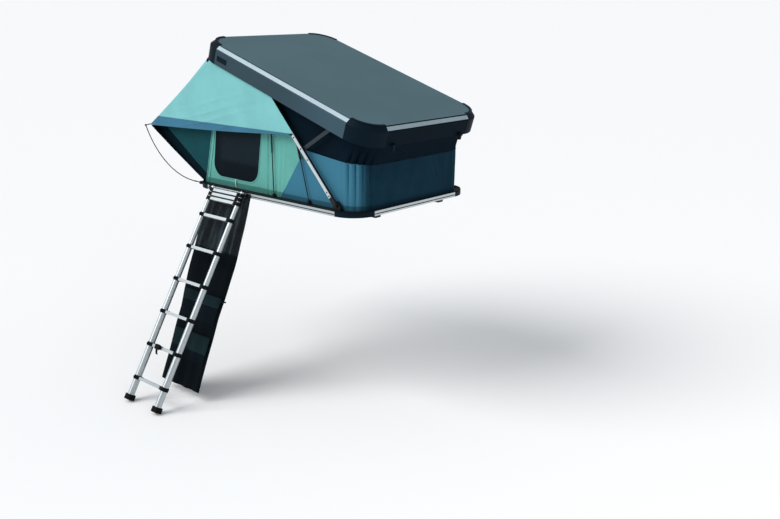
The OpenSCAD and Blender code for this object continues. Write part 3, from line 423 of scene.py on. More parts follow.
print("nodes finished", sum(len(n.split()) for n in worn_by.values()))

# %% [markdown]
# ## Lines of the side view
# The cloth hangs between a few straight lines of the open tent: the lid's lower edge, the lifting arms and
# the base. Small functions give points on those lines, in metres, so that each panel can be pinned to them.
# The lid's rounded corners are measured from its rear edge and its middle line.

# %% Points on the lid and the arms
lid_slope = radians(17.5)
lid_rear = Vector((-0.861, 1.224))
lid_length = 2.086
lid_corner_x, lid_corner_y = 0.236, 0.504
along_lid = Vector((cos(lid_slope), -sin(lid_slope)))
off_lid = Vector((sin(lid_slope), cos(lid_slope)))
arm_foot = Vector((0.788, 0.124))
arm_half = 0.02
arm_turn = radians(133)
along_arm = Vector((cos(arm_turn), sin(arm_turn)))
off_arm = Vector((sin(arm_turn), -cos(arm_turn)))


def on_lid(a, h):
    return lid_rear + a * along_lid + h * off_lid


def on_arm(r, off=0.0):
    return arm_foot + r * along_arm + off * off_arm


awning_tip = Vector((-1.667, 0.539))
fly_y = 0.7183
wall_y = 0.658
cloth_foot = 0.0803
lid_gap = 0.004
hem_rise = 1.9 * 0.084
arm_top_r = (0.005 - (on_arm(0, arm_half) - lid_rear).dot(off_lid)) / along_arm.dot(off_lid)
fly_corner = on_lid(0.150, lid_gap)
fly_foot = on_arm(0.697, arm_half)
hem_end = on_arm(0.715, -arm_half)
hem_end_top = on_arm(0.730, -arm_half)
hem_top = awning_tip.lerp(fly_corner, hem_rise / (fly_corner - awning_tip).length)
print("arm top", rounded(on_arm(arm_top_r)), "hem top", rounded(hem_top))

# %% [markdown]
# ## Sheets of cloth
# A sheet could be simulated, but these panels are stretched between fixed edges, so their shape is known.
# A grid is added, each point is moved to its place on the panel, with slack and creases as small offsets,
# and a Solidify modifier gives the cloth its thickness. The UV map is laid out in metres. Each sheet names
# the body that holds it.

# %% Sheet maker
def add(primitive, **settings):
    bpy.ops.object.select_all(action="DESELECT")
    primitive(**settings)
    return bpy.context.object


def pick(piece):
    bpy.ops.object.select_all(action="DESELECT")
    piece.select_set(True)
    bpy.context.view_layer.objects.active = piece


def edit(piece, *steps):
    pick(piece)
    bpy.ops.object.mode_set(mode="EDIT")
    bpy.ops.mesh.select_all(action="SELECT")
    for step in steps:
        step()
    bpy.ops.object.mode_set(mode="OBJECT")


def apply(piece, kind, **settings):
    pick(piece)
    modifier = piece.modifiers.new(kind.lower(), kind)
    for key, value in settings.items():
        setattr(modifier, key, value)
    bpy.ops.object.modifier_apply(modifier=modifier.name)


def line_length(points):
    return sum((b - a).length for a, b in zip(points, points[1:]))


def sheet(name, cols, rows, place, finish, body,
          thick=0.0016):
    piece = add(bpy.ops.mesh.primitive_grid_add, x_subdivisions=cols, y_subdivisions=rows, size=1)
    piece.name = name
    mesh = piece.data
    spots = [(p.co.x + 0.5, p.co.y + 0.5) for p in mesh.vertices]
    steps = [i / 24 for i in range(25)]
    quarters = steps[::6]
    wide = max(line_length([place(u, v) for u in steps]) for v in quarters)
    long = max(line_length([place(u, v) for v in steps]) for u in quarters)
    for point, (u, v) in zip(mesh.vertices, spots):
        point.co = place(u, v)
    for loop in mesh.loops:
        u, v = spots[loop.vertex_index]
        mesh.uv_layers.active.data[loop.index].uv = (u * wide, v * long)
    mesh.update()
    edit(piece, lambda: bpy.ops.mesh.remove_doubles(threshold=0.00005))
    apply(piece, "SOLIDIFY", thickness=thick, offset=0)
    edit(piece, lambda: bpy.ops.mesh.normals_make_consistent(inside=False))
    bpy.ops.object.shade_smooth_by_angle(angle=radians(55))
    mesh.materials.append(finish)
    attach(piece, body)
    return piece


def upright(point, y):
    return Vector((point[0], y, point[1]))


def slack(x, z, seed, size):
    return noise.noise(Vector((x * size, z * size, seed)))


# %% [markdown]
# ## Fly sheet, hems and awning
# The teal fly is stretched from the awning tip to the lid and the arm, so it creases along the lines of
# pull. Each side is three panels that meet below the lid's rear corner: the front panel and the small
# corner are held by the lid, and the rear one by the awning.

# %% Fly panels
slope_dir = (awning_tip - lid_rear).normalized()


def turn_share(low, high, reach):
    a, b = [(p - lid_rear).dot(slope_dir) - reach for p in (low, high)]
    return min(1, a / (a - b))


seam_x = -0.86
turn_reach = 0.146
seam_t = (seam_x - hem_top[0]) / (hem_end_top[0] - hem_top[0])
fly_turn = hem_top.lerp(fly_corner, turn_share(hem_top, fly_corner, turn_reach))
fly_deep = fly_corner - off_lid
fly_inner = fly_deep.lerp(fly_corner, turn_share(fly_deep, fly_corner, turn_reach))
fly_low_line = [hem_top.lerp(hem_end_top, seam_t), hem_end_top, fly_foot]
fly_top_line = [fly_inner, fly_corner, on_lid(lid_corner_x, 0.005), on_arm(arm_top_r, arm_half)]
fly_creases = [(-0.17, 0.0035), (-0.08, 0.005), (-0.01, 0.004), (0.07, 0.003)]
pull = (on_arm(arm_top_r) - awning_tip).normalized()


def polyline(points, t):
    total = line_length(points) * t
    for a, b in zip(points, points[1:]):
        step = (b - a).length
        if total <= step or b == points[-1]:
            return a.lerp(b, min(1, total / step))
        total -= step


def fly_swell(p):
    across = (p - awning_tip).dot(Vector((-pull[1], pull[0])))
    along = (p - awning_tip).dot(pull)
    bend = 0.02 * slack(p[0], p[1], 3.0, 2.0)
    middle = exp(-((along - 0.95) / 0.45) ** 2)
    creases = sum(h * exp(-((across + bend - c) / 0.013) ** 2) for c, h in fly_creases)
    return 0.0035 + creases * middle + 0.0025 * slack(p[0], p[1], 7.0, 3.0)


def fly_place(low, high, side, u, v):
    p = low(u).lerp(high(u), v)
    return upright(p, side * (fly_y + fly_swell(p)))


fly_panels = []
for side, word in sides:
    front = sheet(f"fly_front_{word}", 90, 44, partial(
        fly_place, partial(polyline, fly_low_line), partial(polyline, fly_top_line), side),
        fly_cloth, "lid")
    rear = sheet(f"fly_rear_{word}", 60, 44, partial(
        fly_place, lambda u: hem_top.lerp(hem_end_top, seam_t * u),
        partial(polyline, [hem_top, fly_turn, fly_inner]), side),
        fly_cloth, "awning_cloth")
    corner = sheet(f"fly_corner_{word}", 16, 24, partial(
        fly_place, lambda u: fly_turn.lerp(fly_inner, u), lambda u: fly_corner, side),
        fly_cloth, "lid")
    fly_panels += [front, rear, corner]
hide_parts("fly_sides")

# %% Hems
def hem_place(t0, t1, side, u, v):
    t = t0 + (t1 - t0) * u
    p = awning_tip.lerp(hem_end, t).lerp(hem_top.lerp(hem_end_top, t), v * 1.04)
    p[1] -= 0.010 * sin(pi * t) * (1 - v)
    roll = 0.0035 * exp(-((v - 0.06) / 0.05) ** 2)
    return upright(p, side * (fly_y + 0.0022 + roll + fly_swell(p)))


hems = []
for side, word in sides:
    hems.append(sheet(f"hem_front_{word}", 90, 12, partial(hem_place, seam_t, 1, side), hem_cloth,
                      "lid"))
    hems.append(sheet(f"hem_rear_{word}", 60, 12, partial(hem_place, 0, seam_t, side), hem_cloth,
                      "awning_cloth"))
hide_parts("fly_hems")

# %% [markdown]
# The awning's rear slope hangs from the lid's rounded rear edge down to the tips and sags a little in the
# middle. Its two top corners would swing out past the lid, so they are small pieces of their own.
# Under it, a dark panel closes the back from the base's rear edge up to the tips, and a gusset on
# each side closes the corner between that panel and the side wall, with a dark strip along its lower edge.

# %% Rear slope, rear panel and gussets
slope_half = 0.7195
band_from = 0.962
band_half = 0.638
corner_from = 0.574


def bow(y, flat, radius, reach):
    return sqrt(radius ** 2 - min(max(0, abs(y) - flat), reach) ** 2)


def rear_wall(y):
    return lid_corner_x - bow(y, lid_corner_y, 0.232, 0.228)


def slope_share(y):
    return turn_share(awning_tip, on_lid(rear_wall(y), lid_gap), rear_wall(y) - 0.004)


def slope_place(lift, low, high, y0=-slope_half, y1=slope_half):
    def place(u, v):
        y = y0 + (y1 - y0) * u
        t = low(y) + (high(y) - low(y)) * v
        p = awning_tip.lerp(on_lid(rear_wall(y), lid_gap), t)
        sag = 0.016 * sin(pi * t) * cos(pi / 2 * y / 0.72)
        sag += 0.004 * slack(y, t * 1.2, 7.0, 3.5) * sin(pi * t)
        return Vector((p[0] - 0.5 * lift, y, p[1] - sag + lift))
    return place


rear_slope = sheet("awning_slope", 80, 44, slope_place(0, lambda y: 0, slope_share), fly_cloth,
                   "awning_cloth")
slope_hem = sheet("awning_hem", 80, 8, slope_place(0.0025, lambda y: 0, lambda y: 0.08), hem_cloth,
                  "awning_cloth")
# a dark strip along the top of the slope, under the lid's rear edge
dark_top_strip = sheet("awning_head_band", 80, 4, slope_place(
    0.002, lambda y: band_from, lambda y: max(band_from + 0.0002, slope_share(y)),
    -band_half, band_half), dark_cloth, "awning_cloth")
slope_corners = []
for side, word in sides:
    edge = side * corner_from, side * slope_half
    slope_corners.append(sheet(f"awning_corner_{word}", 20, 10, slope_place(
        0, slope_share, lambda y: 1, *edge), fly_cloth, "lid"))
    # the same dark strip along the top of each corner piece
    slope_corners.append(sheet(f"dark_top_strip_{word}", 20, 4, slope_place(
        0.002, lambda y: max(band_from, slope_share(y)), lambda y: 1, *edge),
        dark_cloth, "lid"))
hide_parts("awning")

panel_top = (awning_tip[0] + 0.008, 0.533)


def rear_edge(y):
    return -0.806 - bow(y, 0.514, 0.196, 0.176)


def panel_half(v):
    return 0.7157 * (0.93 + 0.07 * v)


def panel_place(u, v):
    y = panel_half(v) * (2 * u - 1)
    sag = (0.016 + 0.004 * slack(y, v, 9.0, 4.0)) * sin(pi * v)
    return Vector((rear_edge(y) * (1 - v) + panel_top[0] * v, y,
                   cloth_foot * (1 - v) + panel_top[1] * v - sag))


rear_panel = sheet("rear_cloth", 72, 36, panel_place, dark_cloth,
                   "awning_cloth", thick=0.002)
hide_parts("rear_panel")

gusset_tip = Vector((-1.487, 0.527))
gusset_low = Vector((-0.915, 0.155))
gusset_high = Vector((-0.814, 0.570))
strip_line = [gusset_low, gusset_tip, awning_tip + Vector((0.010, -0.006))]


def gusset_place(side, u, v):
    p = gusset_tip.lerp(gusset_low, u).lerp(gusset_tip.lerp(gusset_high, u), v)
    hollow = 0.010 * sin(pi * v) * u + 0.003 * slack(p[0], p[1], 12.0, 7.0)
    return upright(p, side * (wall_y - hollow))


gussets = [sheet(f"gusset_{word}", 48, 28, partial(gusset_place, side), gusset_cloth,
                 "awning_cloth") for side, word in sides]
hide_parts("gussets")


def strip_place(side, u, v):
    low = panel_place(0.5 + 0.5 * side * wall_y / panel_half(u), u)
    return low.lerp(upright(polyline(strip_line, u), side * wall_y), v)


gusset_strips = [sheet(f"gusset_strip_{word}", 60, 8, partial(strip_place, side), dark_cloth,
                       "awning_cloth") for side, word in sides]

# %% [markdown]
# ## Side walls, windows and piping
# The green wall is flat round its window and slack towards the seam, where it stands in a few upright
# folds. A darker band runs along its foot, two piped seams follow its rear edge and a third stands in front
# of the window.

# %% Side walls
wall_folds = [(-0.085, 0.010, 0.006), (-0.045, 0.012, 0.005), (0.01, 0.009, 0.006),
              (0.055, 0.014, 0.005), (0.11, 0.010, 0.005)]
wall_rear, wall_lean = -0.932, 0.136
rear_top, wall_top = 0.640, 0.618
seam_knee, seam_turn = 0.455, 0.545


def wall_fold(x, z):
    rise = min(1, max(0, (x + 0.11) / 0.05))
    folds = sum(h * exp(-((x - 0.09 * z - c) / w) ** 2) for c, w, h in wall_folds)
    return folds * rise + 0.002 * slack(x, z, 15.0, 9.0) + 0.0012 * slack(x, z, 16.0, 22.0)


def wall_seam(z, foot):
    return foot + 0.260 * min(1, (z - cloth_foot) / (seam_knee - cloth_foot))


def wall_end(z):
    if z < seam_turn:
        return wall_seam(z, 0.086)
    return 0.346 - 0.056 * (z - seam_turn) / (wall_top - seam_turn)


def wall_place(side, height, out, u, v):
    t = height * v
    z = cloth_foot + (rear_top + (wall_top - rear_top) * u - cloth_foot) * t
    front = wall_end(cloth_foot + (wall_top - cloth_foot) * t)
    x = (wall_rear + wall_lean * t) * (1 - u) + front * u
    return Vector((x, side * (wall_y + out + wall_fold(x, z)), z))


side_pieces = []
for side, word in sides:
    wall = sheet(f"side_wall_{word}", 190, 44, partial(wall_place, side, 1, 0), wall_cloth,
                 "base")
    band = sheet(f"wall_band_{word}", 190, 6, partial(wall_place, side, 0.085, 0.0016), band_cloth,
                 "base")
    side_pieces += [wall, band]
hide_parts("side_walls")

# %% [markdown]
# Each window is a net in a sewn binding, square at the top under the hem and widely rounded below. Its rim
# is the hull of four discs. A grid wrapped round the middle and drawn out to that rim makes the net, and a
# narrow ring of the same kind makes the raised binding.

# %% Windows
rim_count = 144
window_discs = [(-0.694, 0.264, 0.112), (-0.316, 0.281, 0.132), (-0.738, 0.595, 0.020),
                (-0.150, 0.595, 0.020)]
window_mid = Vector((-0.46, 0.40))


def window_outline(count):
    cloud = [Vector((x + r * cos(a), z + r * sin(a))) for x, z, r in window_discs
             for a in [tau * k / 60 for k in range(60)]]
    hull = [cloud[i] for i in geometry.convex_hull_2d(cloud)]
    return [polyline(hull + hull[:1], k / count) for k in range(count)]


window_rim = window_outline(rim_count)
window_rim.append(window_rim[0])


def window_place(side, inner, outer, lift, u, v):
    t = inner + (outer - inner) * v
    p = window_mid.lerp(polyline(window_rim, u), t)
    return upright(p, side * (wall_y + wall_fold(p[0], p[1]) + 0.0018 + lift(v)))


windows = []
for side, word in sides:
    pane = sheet(f"window_net_{word}", rim_count, 16,
                 partial(window_place, side, 0, 0.985, lambda v: 0), window_net,
                 "base", thick=0.0012)
    trim = sheet(f"window_binding_{word}", rim_count, 6,
                 partial(window_place, side, 0.968, 1, lambda v: 0.0006 + 0.0016 * sin(pi * v)),
                 wall_cloth, "base")
    windows += [pane, trim]
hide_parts("windows")
side_pieces += windows

# %% Piping and the small strap under each window
piping_lines = [((-0.920, 0.083), (-0.786, 0.63), 0.003), ((-0.882, 0.083), (-0.748, 0.63), 0.003),
                ((-0.075, 0.083), (-0.05, 0.62), 0.0025)]


def piping(name, start, end, side, radius):
    length = (end - start).length
    piece = add(bpy.ops.mesh.primitive_cylinder_add, vertices=10, radius=radius, depth=length)
    piece.name = name
    edit(piece, lambda: bpy.ops.mesh.bisect(plane_co=(0, 0, 0), plane_no=(0, 0, 1)),
         lambda: bpy.ops.mesh.subdivide(number_cuts=8))
    for point in piece.data.vertices:
        x, y, z = point.co
        p = start.lerp(end, min(1, max(0, z / length + 0.5)))
        out = wall_y + 0.0022 + wall_fold(p[0], p[1])
        point.co = Vector((p[0] + x, side * out + y, p[1]))
    bpy.ops.object.shade_smooth()
    piece.data.materials.append(piping_cloth)
    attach(piece, "base")
    return piece


def tab_place(side, u, v):
    out = wall_y + 0.0045 + 0.006 * sin(pi * v)
    return Vector((-0.505 + 0.014 * u, side * out, 0.088 + 0.072 * v))


for side, word in sides:
    for k, (start, end, radius) in enumerate(piping_lines):
        side_pieces.append(piping(f"piping_{k}_{word}", Vector(start), Vector(end), side, radius))
    side_pieces.append(sheet(f"window_tab_{word}", 4, 16, partial(tab_place, side), strap_cloth,
                             "base"))
print("side pieces", len(side_pieces))

# %% [markdown]
# ## Front wall and gaiter
# The front wall runs from the seam on one side, round both corners, to the seam on the other. Its top is
# drawn in round each corner, so it stands in gathers there. Above it a nearly black gaiter leans out to the
# lid. Both follow one plan line, sampled along its length.

# %% Plan of the front wall
front_x = 1.003
corner_r = 0.190
gather_count = 5
gather_depth = 0.042
waist_side, waist_front = 0.468, 0.440
front_folds = [(-0.36, 0.2, 0.02, 0.006), (-0.22, -0.15, 0.03, 0.005), (0.02, 0.3, 0.02, 0.005),
               (0.16, -0.5, 0.018, 0.007), (0.24, -0.35, 0.016, 0.007), (0.40, 0.1, 0.03, 0.006)]


def half_plan(s, x0, w, fx, r, depth):
    arc = r * pi / 2
    straight = fx - r - x0
    front = w - r
    d = s * (straight + arc + front)
    if d <= straight:
        return Vector((x0 + d, -w)), d / straight, 0.0
    if d <= straight + arc:
        k = (d - straight) / arc
        a = -pi / 2 + k * pi / 2
        swell = sin(pi * k) ** 0.5
        ridge = abs(sin(pi * gather_count * k)) ** 0.6
        q = r + depth * swell * (ridge - 0.8)
        return Vector((fx - r + q * cos(a), -w + r + q * sin(a))), 1.0, k
    return Vector((fx, -w + r + d - straight - arc)), 1.0, 1.0 + (d - straight - arc) / front


def full_plan(u, *sizes):
    p, side_share, k = half_plan(1 - abs(2 * u - 1), *sizes)
    return (Vector((p[0], -p[1])) if u > 0.5 else p), side_share, k


def waist(side_share, k):
    if k == 0.0:
        return waist_side + 0.053 * (1 - side_share)
    return waist_side + (waist_front - waist_side) * min(1, k)


def front_seam(z):
    return wall_seam(z, 0.0863)


def front_place(u, v):
    depth = gather_depth * (0.3 + 0.7 * v)
    _, share, k = full_plan(u, front_seam(cloth_foot), wall_y, front_x, corner_r, depth)
    z = cloth_foot + (waist(share, k) - cloth_foot) * v
    p, share, k = full_plan(u, front_seam(z), wall_y, front_x, corner_r, depth)
    z = cloth_foot + (waist(share, k) - cloth_foot) * v
    out = 0.004 * slack(p[0] + p[1], z, 21.0, 6.0) * sin(pi * min(1, 0.1 + v))
    drape = 0.0
    if k > 1:
        drape = v * sum(h * exp(-((p[1] + lean_in * (waist_front - z) - c) / w) ** 2)
                        for c, lean_in, w, h in front_folds)
    face = Vector((p[0] - 0.70, p[1] * 0.9)).normalized()
    edge = 0.0025 * exp(-((v - 0.985) / 0.02) ** 2)
    move = min(0.008, out + drape + edge)
    if k == 0.0:
        return Vector((p[0], p[1] + copysign(min(0.007, out + edge), p[1]), z))
    return Vector((p[0] + face[0] * move, p[1] + face[1] * move, z))


front_wall = sheet("front_wall_cloth", 620, 34, front_place, front_cloth,
                   "base")
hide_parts("front_wall")

# %% Gaiter
gaiter_front = on_lid(2.054, 0)[0]
gaiter_rear = on_arm(1.080)[0]


def gaiter_place(u, v):
    x0 = (front_seam(0.521) - 0.05) * (1 - v) + (gaiter_rear - 0.05) * v
    fx = front_x * (1 - v) + gaiter_front * v
    p, share, k = full_plan(u, x0, wall_y - 0.0045, fx, corner_r, gather_depth * (1 - v))
    top = lid_rear[1] - (p[0] - lid_rear[0]) * tan(lid_slope) + 0.006
    z = (waist(share, k) + 0.0003) * (1 - v) + top * v
    tuck = 0.010 * sin(pi * v) + 0.004 * slack(p[0] + p[1], z, 25.0, 8.0)
    face = Vector((p[0] - 0.6, p[1])).normalized() if k > 0 else Vector((0, copysign(1, p[1])))
    return Vector((p[0] - face[0] * tuck, p[1] - face[1] * tuck, z))


gaiter = sheet("gaiter_cloth_piece", 460, 20, gaiter_place, gaiter_cloth,
               "lid")
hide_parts("gaiter")

# %% [markdown]
# ## Screen behind the ladder
# The screen hangs from the edge rail behind the ladder. Its upper part is net, and below that it is solid
# cloth with two pockets, each with a paler band along its top. It hangs free, so soft folds run down it.

# %% Screen and pockets
ladder_x = -0.495
screen_lean = radians(22)
screen_width, screen_length = 0.534, 1.735
screen_top = (-0.728, 0.038)


def screen_place(lift=0.0, u0=0.0, u1=1.0, v0=0.0, v1=1.0, puff=0.0):
    def place(u, v):
        s, t = u0 + (u1 - u0) * u, v0 + (v1 - v0) * v
        fold = 0.010 * sin(tau * 3.5 * s) * sin(pi / 2 * min(1, 3 * t))
        fold *= 0.6 + 0.4 * cos(radians(300) * t)
        fold += 0.006 * slack(s * 0.53, t * 1.7, 31.0, 4.5) * min(1, 4 * t)
        fold += lift + puff * sin(pi * u) ** 0.5 * sin(pi * v) ** 0.5
        down = t * screen_length
        wide = screen_width * (1 + 0.13 * sin(pi * min(1, t / 0.62)))
        return Vector((ladder_x + (s - 0.5) * wide,
                       screen_top[0] - down * sin(screen_lean) - fold * cos(screen_lean),
                       screen_top[1] - down * cos(screen_lean) + fold * sin(screen_lean)))
    return place


screen = sheet("screen_cloth_piece", 64, 120, screen_place(), screen_cloth,
               "base")
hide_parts("ladder_screen")
for k, (v0, v1, deep) in enumerate(((0.525, 0.66, 0.05), (0.73, 0.87, 0.085))):
    pocket = screen_place(0.004, 0.06, 0.94, v0, v1, 0.005)
    sheet(f"screen_pocket_{k}", 48, 20, pocket, pocket_cloth,
          "base")
    band = screen_place(0.0112, 0.05, 0.95, v0 - 0.004, v0 + deep, 0.002)
    sheet(f"screen_band_{k}", 48, 8, band, band_net,
          "base")

# %% [markdown]
# ## Mattress
# The foam mattress fills the floor. A box is subdivided, its corners are rounded in plan, and its top is
# crowned and drawn down along quilting lines, as a sewn cover does over foam.

# %% Mattress
def mattress():
    low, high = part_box("mattress")
    piece = add(bpy.ops.mesh.primitive_cube_add, size=2)
    piece.name = "mattress_pad"
    edit(piece, lambda: bpy.ops.mesh.subdivide(number_cuts=60))
    half = (Vector(high) - Vector(low)) / 2
    mid = (Vector(low) + Vector(high)) / 2
    soft = 0.06
    quilt_x, quilt_y = 0.31, 0.315
    for point in piece.data.vertices:
        a, b, c = point.co
        p = Vector((a * half[0], b * half[1]))
        core = Vector((max(-half[0] + soft, min(half[0] - soft, p[0])),
                       max(-half[1] + soft, min(half[1] - soft, p[1]))))
        reach = p - core
        if reach.length > soft:
            p = core + reach.normalized() * soft
        edge = min(1, (1 - max(abs(a), abs(b))) * 12)
        quilt = abs(sin(p[0] * pi / quilt_x)) ** 0.5
        quilt *= abs(sin(p[1] * pi / quilt_y)) ** 0.5
        lift = (0.55 + 0.45 * edge ** 0.5) * (0.82 + 0.18 * quilt) if c > 0 else 1.0
        waist_in = 1 - 0.004 * (1 - c * c)
        point.co = mid + Vector((p[0] * waist_in, p[1] * waist_in, c * half[2] * lift))
    bpy.ops.object.shade_smooth()
    piece.data.materials.append(mattress_cloth)
    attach(piece, "base")
    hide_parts("mattress")
    return piece


print("mattress faces", len(mattress().data.polygons))

# %% [markdown]
# ## Fittings
# Small fittings finish the hard pieces: dark inserts in the rails' grooves, raised lips on the lid's corner
# caps, caps on the pivots and the ladder's tubes, release knobs on the ladder's collars and screw knobs on
# the rod sockets. Each is a primitive shaped by insets and bevels, and what repeats is modelled once and
# copied.

# %% Fitting helpers
ladder_hinge = (ladder_x, -0.762, 0.078)
ladder_reach = 1.991
ladder_half = 0.197
ladder_frame = (Matrix.Translation(ladder_hinge) @ Matrix.Rotation(-lean, 4, "X")
                @ Matrix.Translation((0, 0, -ladder_reach)))
lid_frame = Matrix.Translation((lid_rear[0], 0, lid_rear[1])) @ Matrix.Rotation(lid_slope, 4, "Y")


def settle(piece, name, finish, body, matrix=Matrix.Identity(4)):
    piece.name = name
    pick(piece)
    bpy.ops.object.transform_apply(location=True, rotation=True, scale=True)
    piece.data.transform(matrix)
    bpy.ops.object.shade_smooth_by_angle(angle=radians(35))
    piece.data.materials.append(finish)
    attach(piece, body)
    return piece


def knob(radius, depth):
    piece = add(bpy.ops.mesh.primitive_cylinder_add, vertices=28, radius=radius, depth=depth,
                location=(0, 0, depth / 2))
    bpy.ops.object.transform_apply(location=True)
    edit(piece, lambda: bpy.ops.mesh.select_all(action="DESELECT"))
    for face in piece.data.polygons:
        face.select = face.normal.z > 0.9
    bpy.ops.object.mode_set(mode="EDIT")
    bpy.ops.mesh.inset(thickness=radius * 0.3, depth=0)
    bpy.ops.mesh.extrude_region_move(TRANSFORM_OT_translate={"value": (0, 0, -depth * 0.2)})
    bpy.ops.object.mode_set(mode="OBJECT")
    apply(piece, "BEVEL", width=radius * 0.14, segments=2, limit_method="ANGLE",
          angle_limit=radians(40))
    return piece


def copies(model, spots, finish):
    made = []
    for name, body, matrix in spots:
        twin = bpy.data.objects.new(name, model.data.copy())
        scene.collection.objects.link(twin)
        made.append(settle(twin, name, finish, body, matrix))
    bpy.data.objects.remove(model)
    return made


# %% Ladder knobs, pivot caps and socket screws
knob_spots = []
knob_turn = Matrix.Rotation(pi / 2, 4, "X")
for i in range(6):
    n = max(1, i)
    collar_level = 0.202 + 0.305 * i
    tube_radius = 0.0295 - (n - 1) * 0.00175
    for s, letter in ((-1, "l"), (1, "r")):
        at = (s * ladder_half, -(tube_radius + 0.0045), collar_level)
        knob_spots.append((f"collar_knob_{i}_{letter}", f"ladder_{n}",
                           ladder_frame @ Matrix.Translation(at) @ knob_turn))
print("knobs", len(copies(knob(0.009, 0.009), knob_spots, collar_black)))

tube_spots = [(f"tube_cap_{word}", "ladder_top",
               ladder_frame @ Matrix.Translation((s * ladder_half, 0, 1.9975)))
              for s, word in ends]
print("tube caps", len(copies(knob(0.0185, 0.009), tube_spots, collar_black)))

cap_spots, socket_spots = [], []
for s, word in sides:
    out = Matrix.Rotation(-s * pi / 2, 4, "X")
    cap_at = Matrix.Translation((arm_foot[0], s * 0.7162, arm_foot[1]))
    socket_at = Matrix.Translation((-0.973, s * 0.6868, 0.0675))
    cap_spots.append((f"pivot_cap_{word}", "arms", cap_at @ out))
    socket_spots.append((f"socket_screw_{word}", "base", socket_at @ out))
print("pivot caps", len(copies(knob(0.013, 0.006), cap_spots, dark_metal)))
print("socket screws", len(copies(knob(0.011, 0.013), socket_spots, moulding)))

# %% Groove inserts on the edge rails
def strip(name, size, at, finish, body, matrix=Matrix.Identity(4)):
    piece = add(bpy.ops.mesh.primitive_cube_add, size=1, location=at)
    piece.scale = size
    bpy.ops.object.transform_apply(location=True, scale=True)
    apply(piece, "BEVEL", width=min(size) * 0.4, segments=2)
    return settle(piece, name, finish, body, matrix)


groove_z, groove_deep, groove_high = 0.057, 0.0016, 0.007
for s, word in sides:
    strip(f"groove_side_{word}", (1.606, groove_deep, groove_high), (0, s * 0.7405, groove_z),
          rubber, "base")
for s, word in ends:
    strip(f"groove_{word}", (groove_deep, 1.022, groove_high), (s * 1.0325, 0, groove_z),
          rubber, "base")

# %% Raised lips on the lid's corner caps
def corner_lip():
    piece = add(bpy.ops.mesh.primitive_plane_add, size=1, location=(0.188, 0, 0.167),
                rotation=(pi / 2, 0, 0))
    piece.scale = (0.026, 0.008, 1)
    bpy.ops.object.transform_apply(location=True, rotation=True, scale=True)
    edit(piece,
         lambda: bpy.ops.mesh.spin(steps=28, angle=-pi / 2, center=(0, 0, 0), axis=(0, 0, 1)),
         lambda: bpy.ops.mesh.select_all(action="SELECT"),
         lambda: bpy.ops.mesh.remove_doubles(threshold=0.00001),
         lambda: bpy.ops.mesh.normals_make_consistent(inside=False))
    apply(piece, "BEVEL", width=0.003, segments=2, limit_method="ANGLE", angle_limit=radians(50))
    return piece


lip_spots = []
for x, y, turn in ((1, 1, 0), (0, 1, 90), (0, -1, 180), (1, -1, 270)):
    at = (lid_corner_x if x == 0 else lid_length - lid_corner_x, y * lid_corner_y, 0)
    lip_spots.append((f"corner_lip_{turn}", "lid",
                      lid_frame @ Matrix.Translation(at) @ Matrix.Rotation(radians(turn), 4, "Z")))
lips = copies(corner_lip(), lip_spots, moulding)
print("lip box", rounded(lips[0].dimensions))

# %% [markdown]
# ## Tie strap
# A webbing strap is tied round the second rung and its tail hangs down. Webbing is modelled directly: a
# narrow grid wrapped round the rung, and another that falls plumb from it. A block stands for its buckle,
# and a small toggle sits at the screen's edge.

# %% Tie strap
strap_x = -0.085
tail_top = ladder_frame @ Vector((strap_x, -0.024, 0.497))


def strap_loop(u, v):
    w, h = 0.0245, 0.0155
    a = tau * v
    c, s = cos(a), sin(a)
    k = (abs(c) ** 6 + abs(s) ** 6) ** (-1 / 6)
    return ladder_frame @ Vector((strap_x + 0.030 * u, w * c * k, 0.507 + h * s * k))


def strap_tail(u, v):
    return tail_top + Vector((0.028 * u + 0.008 * sin(3 * v), -0.004 - 0.010 * sin(2.6 * v),
                              -0.055 * v))


loop = sheet("strap_loop", 4, 48, strap_loop, webbing_cloth,
             "ladder_1", thick=0.0018)
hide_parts("tie_strap")
sheet("strap_tail", 4, 30, strap_tail, webbing_cloth,
      "ladder_1", thick=0.0018)
strip("strap_buckle", (0.066, 0.022, 0.046), (-0.052, -0.037, 0.509), webbing_cloth,
      "ladder_1", ladder_frame)
toggle_at = screen_place(0.012, v0=0.535, v1=0.535)(0.985, 0)
toggle_turn = Matrix.Rotation(radians(80), 4, "Y")
toggle_spots = [("screen_toggle", "base", Matrix.Translation(toggle_at) @ toggle_turn)]
print("toggle", len(copies(knob(0.007, 0.045), toggle_spots, moulding)))

# %% [markdown]
# ## Meshes of their own
# When the lid comes down, cloth crumples. This cell only gives the cloth pieces meshes of their own: the
# walls, the fly's panels and hems, the gaiter, the awning's panels and the corner pieces. The points it
# sets on the lid and along the awning's edge are not used.

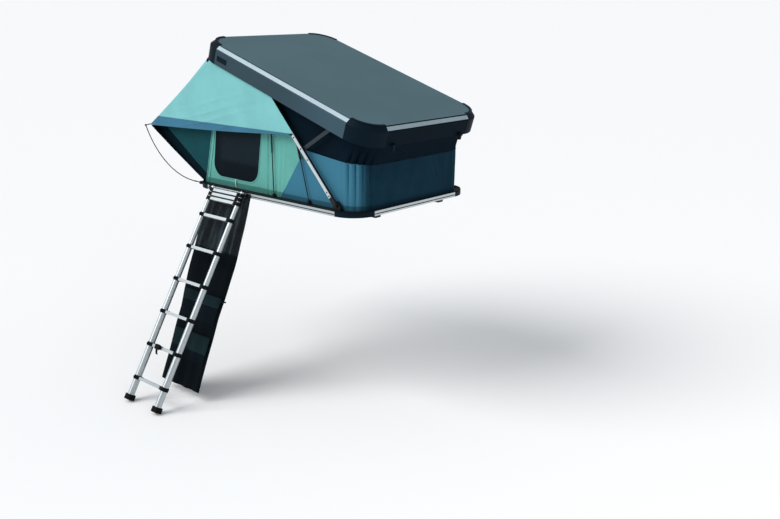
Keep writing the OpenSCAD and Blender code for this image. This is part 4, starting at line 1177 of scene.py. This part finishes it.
# %% Own meshes for the cloth pieces
for piece in [front_wall, *side_pieces]:
    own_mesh(piece)
spot = on_lid(0, 0.003)
for piece in fly_panels[::3] + hems[::2]:
    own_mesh(piece)
spot = on_lid(0, 0.066)
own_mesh(gaiter)
awning_pieces = [rear_slope, slope_hem, dark_top_strip, rear_panel, *gussets, *gusset_strips]
for piece in awning_pieces + fly_panels[1::3] + hems[1::2]:
    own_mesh(piece)
edge_dir = (fly_corner - awning_tip).normalized()
for reach, pieces in ((0.13, fly_panels[2::3]), (0, slope_corners)):
    spot = fly_corner + reach * edge_dir
    for piece in pieces:
        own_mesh(piece)

# %% [markdown]
# ## Stage
# A pale floor lies under the ladder's feet. Soft light comes from the left and above, as in a studio, and
# the world gives a plain fill. The camera sees the world as white.

# %% Floor, lamps and world
floor = add(bpy.ops.mesh.primitive_plane_add, size=3000, location=(0, 0, cad_box[0].z - 0.001))
floor.name = "floor"
floor.data.materials.append(Finish("floor").wear(Base_Color=(0.95, 0.95, 0.95, 1), Roughness=0.9,
                                                 Specular_IOR_Level=0.1))


def lamp(name, kind, at, way, energy, **settings):
    data = bpy.data.lights.new(name, kind)
    data.energy = energy
    for key, value in settings.items():
        setattr(data, key, value)
    made = bpy.data.objects.new(name, data)
    made.location = at
    made.rotation_euler = Vector(way).to_track_quat("-Z", "Y").to_euler()
    scene.collection.objects.link(made)


lamp("fill", "AREA", (8.0, -3.0, 3.5), (-8.0, 3.0, -3.3), 60, shape="DISK", size=5.0)
lamp("key", "SUN", (0, 0, 0), (0.5, 0.8, -0.9), 2.2, angle=radians(40))
world = bpy.data.worlds.new("studio")
scene.world = world
world.use_nodes = True
world_nodes = world.node_tree.nodes
plain = world_nodes["Background"]
plain.inputs["Color"].default_value = (0.93, 0.96, 1.0, 1)
plain.inputs["Strength"].default_value = 0.55
white = world_nodes.new("ShaderNodeBackground")
white.inputs["Color"].default_value = (1, 1, 1, 1)
path = world_nodes.new("ShaderNodeLightPath")
seen = world_nodes.new("ShaderNodeMath")
seen.operation = "MAXIMUM"
blend = world_nodes.new("ShaderNodeMixShader")
for source, target in ((path.outputs["Is Camera Ray"], seen.inputs[0]),
                       (path.outputs["Is Transmission Ray"], seen.inputs[1]),
                       (seen.outputs[0], blend.inputs[0]),
                       (plain.outputs[0], blend.inputs[1]),
                       (white.outputs[0], blend.inputs[2]),
                       (blend.outputs[0], world_nodes["World Output"].inputs["Surface"])):
    world.node_tree.links.new(source, target)
bpy.context.scene.view_settings.view_transform = "Standard"
print("stage set")
